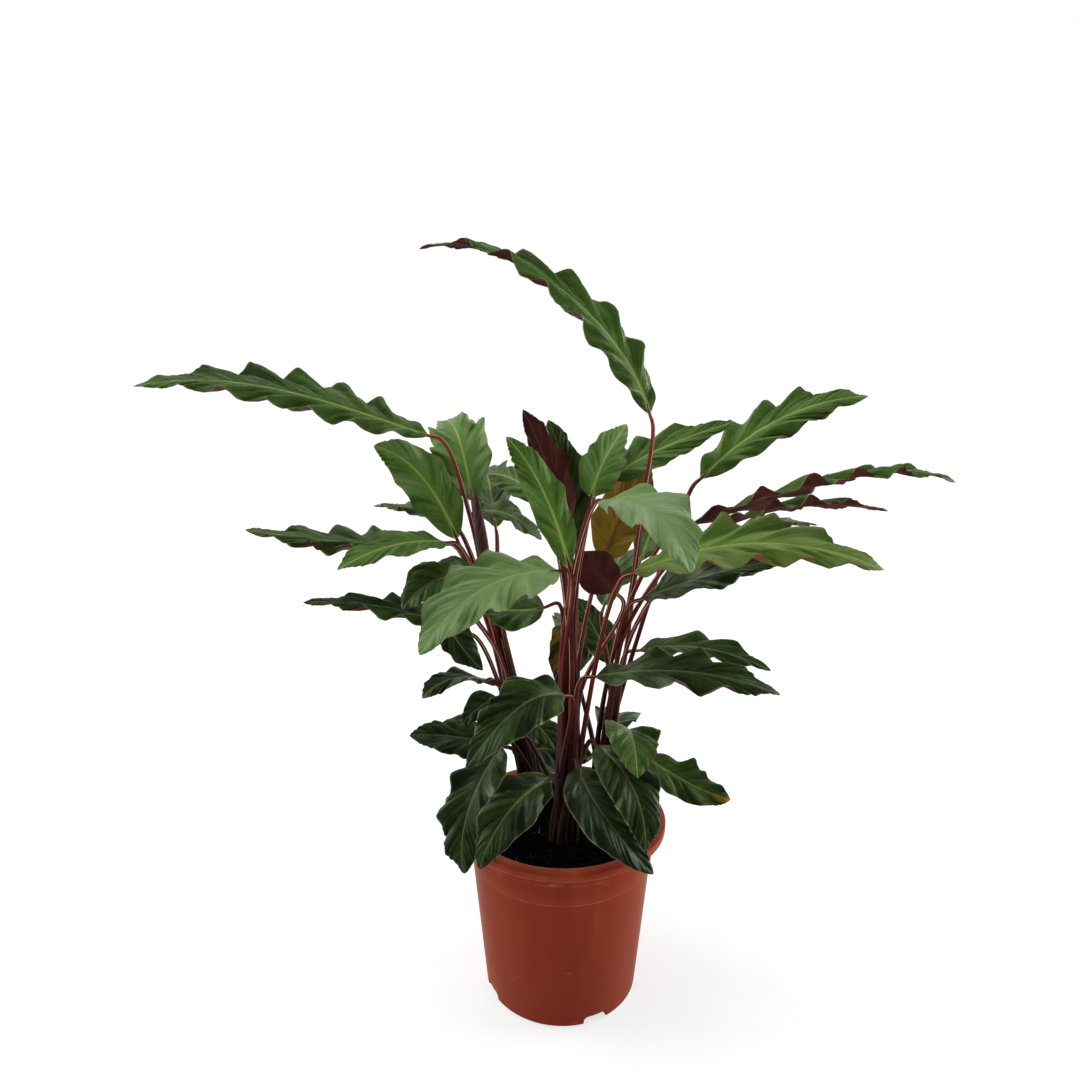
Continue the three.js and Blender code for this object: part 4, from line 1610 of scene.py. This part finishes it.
@dataclass
class Stalks:
    """The stalks of each shoot, the sheaths round their foot and their short hairs. Millimetres."""

    skin: bpy.types.Material
    hair: bpy.types.Material
    soil_height: float = 112.0
    crown_depth: float = 12.0
    crown_rise: float = 7.0
    foot_radius: float = 1.9
    top_radius: float = 1.5
    neck: float = 0.3
    neck_stretches: int = 2
    neck_curve: float = 1.5
    foot_ring: float = 0.85
    foot_flare: float = 0.6
    flare_height: float = 16.0
    hop: float = 60.0
    approach: float = 10.0
    free_length: float = 52.0
    into_blade: float = 6.0
    blade_shares: Triple = (0.4, 0.75, 1.0)
    blade_thinning: float = 0.8
    sides: int = 12
    flutes: int = 4
    flute_middle: float = 0.96
    flute_depth: float = 0.08
    twist: float = 9.0
    parts: int = 8
    stalk_seed: int = 40

    sheaths: int = 7
    sheath_radius: float = 2.1
    sheath_point: float = 0.15
    sheath_depth: float = 5.0
    sheath_least: float = 18.0
    sheath_extra: float = 50.0
    sheath_steps: int = 10
    sheath_scatter: float = 0.4
    sheath_ring: tuple[float, float] = (0.95, 0.25)
    sheath_colour: tuple[float, float] = (0.25, 0.3)
    sheath_lean: tuple[float, float] = (-0.25, 0.35)

    hair_length: float = 1.5
    hair_radius: float = 0.05
    hair_sides: int = 3
    hair_tilt: float = 0.6
    hair_sizes: tuple[float, float] = (0.45, 1.0)
    hairs_per_square_metre: float = 150000.0
    hair_seed: int = 11
    sharp_angle: float = 60.0

    def build(self, shoots: Sequence[Shoot]) -> None:
        """Makes and registers one piece for each shoot.

        Args:
            shoots: the shoots.
        """
        recipe = self.recipe()
        made: dict[str, bpy.types.Object] = {}
        for number, shoot in enumerate(shoots):
            chance = random.Random(self.stalk_seed + number)
            strands = [*self.stalks(shoot, chance), *self.sheathing(shoot, chance)]
            piece = new_piece(f"{shoot.name}_stalk_bundle", strand_mesh(f"{shoot.name}_strands", strands))
            recipe.use_on(piece, {"Skin": self.skin, "Hair": self.hair, "Seed": self.hair_seed + number})
            made[f"{shoot.name}_stalks"] = piece
        hand_in(made, "stalk", self.sharp_angle)

    def route(self, shoot: Shoot, leaf: Leaf, offset: Vector) -> list[Vector]:
        """The bends of one stalk.

        Args:
            shoot: the shoot.
            leaf: the leaf that the stalk carries.
            offset: the stalk's place in the bundle.

        Returns:
            The bends from the foot to the blade.
        """
        foot = shoot.axis_point(self.soil_height - self.crown_depth / 2)
        join = Vector(leaf.join)
        before = join - leaf.rib_direction(0) * self.approach
        lowest = self.soil_height + 2 * self.crown_rise
        leave = leaf.leave or max(lowest, min(before.z - self.free_length, shoot.axis[-1][2]))
        rise = leave - self.soil_height
        hops = max(1, round(rise / self.hop))
        heights = [self.soil_height + rise * i / hops for i in range(1, hops + 1)]
        held = [shoot.axis_point(height) + offset for height in heights]
        return [foot + offset * self.foot_ring, *held, before, join]

    def stalks(self, shoot: Shoot, chance: random.Random) -> list[Strand]:
        """The leaf stalks, each of which runs on into its blade.

        Args:
            shoot: the shoot.
            chance: gives each stalk its own colour.

        Returns:
            A strand for each leaf.
        """
        strands = []
        for leaf, offset in zip(shoot.leaves, shoot.offsets()):
            points = smooth_path(self.route(shoot, leaf, offset), self.parts)
            radii = []
            last = len(points) - 1
            for i, point in enumerate(points):
                flare = self.foot_flare * math.exp(-max(point.z - self.soil_height, 0) / self.flare_height)
                thinned = max(0.0, 1 - (last - i) / (self.neck_stretches * self.parts))
                radius = self.foot_radius + (self.top_radius - self.foot_radius) * i / last
                radii.append(radius * (1 + flare) * (1 - self.neck * thinned ** self.neck_curve))
            if not leaf.furled:
                for share in self.blade_shares:
                    points.append(leaf.rib_point(share * self.into_blade / leaf.length()))
                    radii.append(self.top_radius * (1 - self.neck) * (1 - self.blade_thinning * share))
            strands.append(Strand(points, radii, chance.random()))
        return strands

    def sheathing(self, shoot: Shoot, chance: random.Random) -> list[Strand]:
        """The old leaf sheaths and young shoots that stand close round the foot.

        Args:
            shoot: the shoot.
            chance: sets their places, heights and colours, in this order.

        Returns:
            A strand for each, which ends in a point.
        """
        strands = []
        inward, outward = self.sheath_lean
        for i in range(self.sheaths):
            angle = TURN * (i + self.sheath_scatter * chance.random()) / self.sheaths
            ring = shoot.spread * (self.sheath_ring[0] + self.sheath_ring[1] * chance.random())
            offset = Vector((math.cos(angle), math.sin(angle), 0)) * ring
            height = self.sheath_least + self.sheath_extra * chance.random() ** 1.6
            points, radii = [], []
            for k in range(self.sheath_steps + 1):
                share = k / self.sheath_steps
                level = self.soil_height - self.sheath_depth + (height + self.sheath_depth) * share
                lean = 1.0 + inward * share + outward * share ** 3
                points.append(shoot.axis_point(level) + offset * lean)
                radii.append(self.sheath_radius * (1 - share ** 1.7) + self.sheath_point)
            own = self.sheath_colour[0] + self.sheath_colour[1] * chance.random()
            strands.append(Strand(points, radii, own))
        return strands

    def flute(self, share: Value) -> Value:
        """The radius of the fluted profile from the way round it."""
        return (share * (TURN * self.flutes)).apply("COSINE") * self.flute_depth + self.flute_middle

    def recipe(self) -> Recipe:
        """The tree that gives the strands a fluted skin and hairs.

        Returns:
            The recipe, whose Geometry is a mesh of strands.
        """
        kinds = {"Geometry": "Geometry", "Skin": "Material", "Hair": "Material", "Seed": "Int"}
        recipe = Recipe("stalks", kinds)
        skin = swept(recipe, self.sides, self.flute, self.twist)
        form = {
            "Vertices": self.hair_sides,
            "Radius Top": 0.0,
            "Radius Bottom": self.hair_radius * MM,
            "Depth": self.hair_length * MM,
        }
        hair = recipe.graph.node("GeometryNodeMeshCone", {"fill_type": "TRIANGLE_FAN"}, form)
        ground = {"Mesh": skin, "Density": self.hairs_per_square_metre, "Seed": recipe.socket("Seed")}
        hairs = scattered(recipe, ground, hair, self.hair_tilt, self.hair_sizes, "Hair")
        recipe.finish(recipe.joined(skin, hairs))
        return recipe


@dataclass
class RolledLeaf:
    """The rolled young leaf: a spindle whose outer edge winds round it. Millimetres."""

    skin: bpy.types.Material
    radius: float = 4.2
    foot: float = 0.08
    point_radius: float = 0.3
    sides: int = 30
    steps: int = 60
    seam: float = 0.16
    overlap: float = 0.02
    twist: float = 45.0
    swell_skew: float = 0.8
    swell_fullness: float = 0.7
    own: float = 0.5
    sharp_angle: float = 45.0

    def build(self, shoots: Sequence[Shoot]) -> None:
        """Makes and registers a piece for each rolled leaf.

        Args:
            shoots: the shoots that carry them.
        """
        recipe = Recipe("rolled_leaf", {"Geometry": "Geometry", "Skin": "Material"})
        recipe.finish(swept(recipe, self.sides, self.winding, self.twist))
        made: dict[str, bpy.types.Object] = {}
        for shoot in shoots:
            for node, _, leaf in shoot.nodes(furled=True):
                made[node] = new_piece(f"{node}_rolled", strand_mesh(f"{node}_strand", [self.strand(leaf)]))
                recipe.use_on(made[node], {"Skin": self.skin})
        hand_in(made, "spear", self.sharp_angle)

    def winding(self, share: Value) -> Value:
        """The radius from the way round: it grows, and ends in a step at the leaf's edge."""
        return share * self.seam + (1 + self.overlap - self.seam)

    def strand(self, leaf: Leaf) -> Strand:
        """The leaf's middle line, whose radius swells above the foot and ends in a point.

        Args:
            leaf: the leaf.

        Returns:
            The strand.
        """
        shares = [i / self.steps for i in range(self.steps + 1)]
        swell = [math.sin(math.pi * (self.foot + (1 - self.foot) * t) ** self.swell_skew) for t in shares]
        full = [self.radius * max(value, 0.0) ** self.swell_fullness for value in swell]
        radii = [max(self.point_radius, radius) for radius in full]
        return Strand([leaf.rib_point(t) for t in shares], radii, self.own)


# Pot and soil


def lathed(name: str, profile: Sequence[tuple[float, float]], sides: int) -> bpy.types.Mesh:
    """Turns a profile round the upright axis into a closed mesh.

    Args:
        name: the mesh's name.
        profile: radius and height in millimetres, from the axis below round the outside to the axis above.
        sides: how many sides it has.

    Returns:
        The mesh, in metres.
    """
    ring = [(math.cos(TURN * k / sides), math.sin(TURN * k / sides)) for k in range(sides)]
    points = [(0.0, 0.0, profile[0][1] * MM), (0.0, 0.0, profile[-1][1] * MM)]
    for radius, height in profile[1:-1]:
        points += [(radius * x * MM, radius * y * MM, height * MM) for x, y in ring]
    faces: list[tuple[int, ...]] = []
    last = 2 + (len(profile) - 3) * sides
    for k in range(sides):
        after = (k + 1) % sides
        faces.append((0, 2 + after, 2 + k))
        faces.append((1, last + k, last + after))
        for low in range(2, last, sides):
            faces.append((low + k, low + after, low + sides + after, low + sides + k))
    return plain_mesh(name, points, faces=faces)


def quarter_turn(steps: int) -> list[float]:
    """The angles from nothing to a quarter of a turn, in even steps."""
    return [math.pi / 2 * i / steps for i in range(steps + 1)]


@dataclass
class Pot:
    """The nursery pot: lip, collar band, tapered wall, drain channel and drain notches. Millimetres."""

    finish: bpy.types.Material
    height: float = 122.0
    rim_radius: float = 70.0
    mouth_radius: float = 62.0
    neck_radius: float = 61.0
    base_radius: float = 51.5
    base_round: float = 2.4
    base_steps: int = 6
    wall: float = 1.6
    wall_heights: tuple[float, ...] = (12, 24, 36, 48, 60, 72, 84, 94)
    inner_heights: tuple[float, ...] = (75, 50, 25)
    lip_depth: float = 4.8
    lip_wall: float = 1.6
    lip_edge: tuple[tuple[float, float], ...] = (
        (0.2, 4.8), (0.1, 2.8), (0.0, 1.0), (0.25, 0.35), (1.0, 0.0), (4.0, 0.15),
    )
    collar_depth: float = 27.6
    collar_step: float = 0.6
    collar_edge: float = 0.3
    collar_swell: tuple[tuple[float, float], ...] = ((0.15, 19.6), (0.4, 2.8), (1.6, 1.6))
    mouth_edge: tuple[tuple[float, float], ...] = ((0.9, 0.0), (-0.2, 0.8))
    mouth_step: float = 0.2
    floor: float = 2.2
    floor_round: float = 1.5
    floor_middle: float = 20.0
    channel_inner: float = 34.0
    channel_outer: float = 45.0
    channel_height: float = 2.6
    channel_slope: float = 2.0
    channel_margin: float = 12.0
    sides: int = 180

    notches: int = 4
    notch_width: float = 17.0
    notch_height: float = 6.0
    notch_corner: float = 3.0
    notch_steps: int = 5
    notch_inner: float = 42.0
    notch_below: float = 1.0
    notch_beyond: float = 4.0
    notch_turn: float = 25.0
    edge: float = 0.3
    edge_angle: float = 40.0
    edge_segments: int = 2
    sharp_angle: float = 50.0

    def build(self) -> None:
        """Makes and registers the pot."""
        piece = new_piece("nursery_pot", lathed("pot_shell", self.profile(), self.sides))
        piece.data.materials.append(self.finish)
        cutters = [self.cutter(i) for i in range(self.notches)]
        for cutter in cutters:
            cut = piece.modifiers.new("notch", "BOOLEAN")
            cut.object = cutter
            cut.solver = "EXACT"
        bevel = piece.modifiers.new("edges", "BEVEL")
        bevel.width = self.edge * MM
        bevel.segments = self.edge_segments
        bevel.limit_method = "ANGLE"
        bevel.angle_limit = math.radians(self.edge_angle)
        settle([piece], self.sharp_angle)
        for polygon in piece.data.polygons:
            polygon.use_smooth = True
        for cutter in cutters:
            bpy.data.objects.remove(cutter)
        stand_for(piece, "pot", "pot")

    def wall_radius(self, height: float) -> float:
        """The outside of the tapered wall at a height."""
        taper = (self.neck_radius - self.collar_step - self.base_radius) / (self.height - self.collar_depth)
        return self.base_radius + taper * height

    def profile(self) -> list[tuple[float, float]]:
        """The turned form.

        Returns:
            Radius and height, from the axis below round the outside to the axis above.
        """
        top, collar = self.height, self.height - self.collar_depth
        floor_top = self.channel_height + self.floor
        lip, neck, mouth = self.rim_radius, self.neck_radius, self.mouth_radius
        foot = self.wall_radius(self.base_round) - self.base_round
        underside = [
            (0, 0),
            (self.channel_inner - self.channel_margin, 0),
            (self.channel_inner, 0),
            (self.channel_inner + self.channel_slope, self.channel_height),
            (self.channel_outer - self.channel_slope, self.channel_height),
            (self.channel_outer, 0),
        ]
        rounding = [
            (foot + self.base_round * math.sin(angle), self.base_round * (1 - math.cos(angle)))
            for angle in quarter_turn(self.base_steps)
        ]
        outside = (*self.wall_heights, collar - self.collar_edge)
        inside = (collar, *self.inner_heights, floor_top + self.floor_round)
        return [
            *underside,
            *rounding,
            *((self.wall_radius(z), z) for z in outside),
            (neck, collar + self.collar_step),
            *((neck + out, top - down) for out, down in self.collar_swell),
            (lip - self.lip_wall, top - self.lip_wall),
            (lip - self.lip_wall, top - self.lip_depth),
            *((lip - back, top - down) for back, down in self.lip_edge),
            *((mouth + out, top - down) for out, down in self.mouth_edge),
            (neck - self.wall + self.mouth_step, top - self.lip_depth),
            *((self.wall_radius(z) - self.wall, z) for z in inside),
            (self.wall_radius(floor_top) - self.wall - self.floor_round, floor_top),
            (self.floor_middle, floor_top),
            (0, floor_top),
        ]

    def cutter(self, number: int) -> bpy.types.Object:
        """The block that cuts one drain notch, a hidden object.

        Args:
            number: which notch it is.

        Returns:
            The block.
        """
        half, corner = self.notch_width / 2, self.notch_corner
        spring = self.notch_height - corner
        right = [
            (half - corner + corner * math.cos(angle), spring + corner * math.sin(angle))
            for angle in quarter_turn(self.notch_steps)
        ]
        left = [(-x, z) for x, z in reversed(right)]
        arch = [(-half, -self.notch_below), (half, -self.notch_below), *right, *left]
        turn = math.radians(self.notch_turn + 360 * number / self.notches)
        out = Vector((math.cos(turn), math.sin(turn), 0))
        across = Vector((-math.sin(turn), math.cos(turn), 0))
        points = [
            tuple((out * reach + across * x + Vector((0, 0, z))) * MM)
            for reach in (self.notch_inner, self.base_radius + self.notch_beyond)
            for x, z in arch
        ]
        count = len(arch)
        faces = [tuple(reversed(range(count))), tuple(range(count, 2 * count))]
        faces += [(k, (k + 1) % count, (k + 1) % count + count, k + count) for k in range(count)]
        block = new_piece(f"notch_block_{number}", plain_mesh("notch_block", points, faces=faces))
        block.hide_render = True
        return block


@dataclass
class Soil:
    """The compost with its crumbs. Millimetres."""

    finish: bpy.types.Material
    fibre: bpy.types.Material
    bottom: float = 5.1
    bottom_radius: float = 50.0
    collar_height: float = 101.0
    radius: float = 58.4
    edge_height: float = 112.0
    edge_width: float = 3.0
    dome: float = 3.0
    sides: int = 110
    rings: int = 34
    rough_from: float = -2.0
    rough_full: float = -1.0
    bits_from: float = -1.5
    lump_scale: float = 130.0
    lump_height: float = 4.8
    crumb: float = 1.5
    crumbs_per_square_metre: float = 280000.0
    fibre_length: float = 7.0
    fibre_radius: float = 0.22
    fibre_point: float = 0.3
    fibre_sides: int = 4
    fibres_per_square_metre: float = 12000.0
    tilt: float = 3.0
    sizes: tuple[float, float] = (0.25, 1.0)
    seed: int = 3
    sharp_angle: float = 50.0

    def build(self) -> None:
        """Makes and registers the soil."""
        piece = new_piece("compost", lathed("compost", self.profile(), self.sides))
        self.recipe().use_on(piece, {"Soil": self.finish, "Fibre": self.fibre})
        hand_in({"soil": piece}, "soil", self.sharp_angle)

    def profile(self) -> list[tuple[float, float]]:
        """The form before it is roughened.

        Returns:
            Radius and height, from the axis below round the outside to the axis above.
        """
        shares = [1 - i / self.rings for i in range(self.rings + 1)]
        side = [(0.0, self.bottom), (self.bottom_radius, self.bottom), (self.radius, self.collar_height)]
        top = [(self.radius * share, self.edge_height + self.dome * (1 - share ** 2)) for share in shares]
        return [*side, *top]

    def recipe(self) -> Recipe:
        """The tree that roughens the top and scatters crumbs and fibres on it.

        Returns:
            The recipe, whose Geometry is the plain form.
        """
        recipe = Recipe("soil", {"Geometry": "Geometry", "Soil": "Material", "Fibre": "Material"})
        graph = recipe.graph
        place = recipe.position()
        x, y, z = place.parts()
        from_axis = (x * x + y * y).apply("SQRT")
        inside = from_axis.ramp(self.radius * MM, (self.radius - self.edge_width) * MM)
        start, full, bits_start = (
            (self.edge_height + rise) * MM for rise in (self.rough_from, self.rough_full, self.bits_from)
        )
        lumps = graph.noise(place, self.lump_scale, 4.0, 0.6) - 0.5
        rise = graph.vector(0.0, 0.0, lumps * z.ramp(start, full) * inside * (self.lump_height * MM))
        rough = recipe.dressed(recipe.moved(recipe.socket("Geometry"), rise, "Offset"), "Soil")
        chosen = graph.math("GREATER_THAN", z, bits_start) * inside
        ball = {"Radius": self.crumb * MM, "Subdivisions": 1}
        cone = {
            "Vertices": self.fibre_sides,
            "Radius Top": self.fibre_point * self.fibre_radius * MM,
            "Radius Bottom": self.fibre_radius * MM,
            "Depth": self.fibre_length * MM,
        }
        bits = []
        for label, kind, form, density in (
            ("Soil", "GeometryNodeMeshIcoSphere", ball, self.crumbs_per_square_metre),
            ("Fibre", "GeometryNodeMeshCone", cone, self.fibres_per_square_metre),
        ):
            ground = {"Mesh": rough, "Selection": chosen, "Density": density, "Seed": self.seed + len(bits)}
            shape = graph.node(kind, None, form)
            bits.append(scattered(recipe, ground, shape, self.tilt, self.sizes, label))
        recipe.finish(recipe.joined(rough, *bits))
        return recipe


# Studio


def hide_from(piece: bpy.types.Object, *kinds: str) -> None:
    """Hides a piece from kinds of ray, such as glossy."""
    for kind in kinds:
        setattr(piece, f"visible_{kind}", False)


@dataclass
class Studio:
    """The floor, the plain backdrop, the soft lights and the camera. Metres."""

    floor_finish: bpy.types.Material
    backdrop_finish: bpy.types.Material
    floor_half: float = 40.0
    backdrop_radius: float = 36.0
    backdrop_angles: Triple = (0.4, 0.8, 1.2)
    backdrop_sides: int = 24
    screen_half: float = 6.0
    screen_back: float = 3.0
    screen_heights: tuple[float, float] = (-3.0, 4.0)
    camera_place: Triple = (-0.0145, -0.494, 0.411)
    camera_pitch: float = 0.20
    lens: float = 26.6
    sensor: float = 36.0
    nearest: float = 0.01
    target: Triple = (0.0, 0.0, 0.25)
    world_strength: float = 0.18
    sun_strength: float = 2.3
    sun_angle: float = 40.0
    sun_place: Triple = (-0.3, 0.15, 2.0)
    side_place: Triple = (1.5, 0.35, 0.55)
    side_size: float = 1.1
    left_power: float = 17.0
    right_power: float = 27.0

    def build(self) -> None:
        """Adds everything that stands round the object."""
        self.surroundings()
        bpy.context.scene.view_settings.view_transform = "Standard"
        world = bpy.data.worlds.new("studio")
        world.use_nodes = True
        background = world.node_tree.nodes["Background"]
        background.inputs["Color"].default_value = (1.0, 1.0, 1.0, 1.0)
        background.inputs["Strength"].default_value = self.world_strength
        bpy.context.scene.world = world
        sun = {"energy": self.sun_strength, "angle": math.radians(self.sun_angle)}
        self.light("sun", "SUN", self.sun_place, sun)
        x, y, z = self.side_place
        self.light("left", "AREA", (-x, y, z), {"energy": self.left_power, "size": self.side_size})
        self.light("right", "AREA", (x, y, z), {"energy": self.right_power, "size": self.side_size})
        data = bpy.data.cameras.new("camera")
        data.lens = self.lens
        data.sensor_width = self.sensor
        data.clip_start = self.nearest
        camera = bpy.data.objects.new("camera", data)
        camera.location = self.camera_place
        camera.rotation_euler = Euler((math.pi / 2 - self.camera_pitch, 0.0, 0.0))
        bpy.context.scene.collection.objects.link(camera)
        bpy.context.scene.camera = camera

    def surroundings(self) -> None:
        """Adds the floor, a plain backdrop all round and a pale screen for reflections."""
        half = self.floor_half
        square = [(-half, -half, 0), (half, -half, 0), (half, half, 0), (-half, half, 0)]
        floor = self.plane("floor", square, self.floor_finish)
        hide_from(floor, "glossy")

        far = self.backdrop_radius / MM
        dome = [(far * math.cos(angle), far * math.sin(angle)) for angle in self.backdrop_angles]
        shell = lathed("backdrop", [(0.0, -1.0), (far, -1.0), *dome, (0.0, far)], self.backdrop_sides)
        shell.materials.append(self.backdrop_finish)
        backdrop = new_piece("backdrop", shell)
        hide_from(backdrop, "diffuse", "glossy", "transmission", "shadow")

        wide, back = self.screen_half, self.screen_back
        low, high = self.screen_heights
        upright = [(-wide, back, low), (wide, back, low), (wide, back, high), (-wide, back, high)]
        screen = self.plane("screen", upright, self.backdrop_finish)
        hide_from(screen, "camera", "diffuse", "transmission", "shadow")

    def plane(self, name: str, places: Sequence[Triple], finish: bpy.types.Material) -> bpy.types.Object:
        """Adds a face with four corners.

        Args:
            name: the piece's name.
            places: its corners in turn.
            finish: its material.

        Returns:
            The piece.
        """
        piece = new_piece(name, plain_mesh(name, places, faces=[(0, 1, 2, 3)]))
        piece.data.materials.append(finish)
        return piece

    def light(self, name: str, kind: str, place: Triple, settings: Mapping[str, float]) -> None:
        """Adds a soft light that looks at the object and isn't seen itself.

        Args:
            name: the light's name.
            kind: AREA or SUN.
            place: where it hangs.
            settings: its power and size.
        """
        data = bpy.data.lights.new(name, kind)
        for key, value in settings.items():
            setattr(data, key, value)
        light = bpy.data.objects.new(name, data)
        light.location = place
        light.rotation_euler = (Vector(self.target) - Vector(place)).to_track_quat("-Z", "Y").to_euler()
        light.visible_camera = False
        bpy.context.scene.collection.objects.link(light)


def main() -> None:
    """Builds the pot, the soil, the stalks and the leaves round the frame."""
    logging.basicConfig(level=logging.INFO, format="%(message)s")
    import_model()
    Studio(FloorFinish().build(), BackdropFinish().build()).build()
    Pot(PotFinish().build()).build()
    Soil(SoilFinish().build(), FibreFinish().build()).build()
    Stalks(StalkFinish().build(), HairFinish().build()).build(SHOOTS)
    RolledLeaf(RolledFinish().build()).build(SHOOTS)
    Blades(BladeUpperFinish().build(), BladeUnderFinish().build()).build(SHOOTS)


if __name__ == "__main__":
    main()
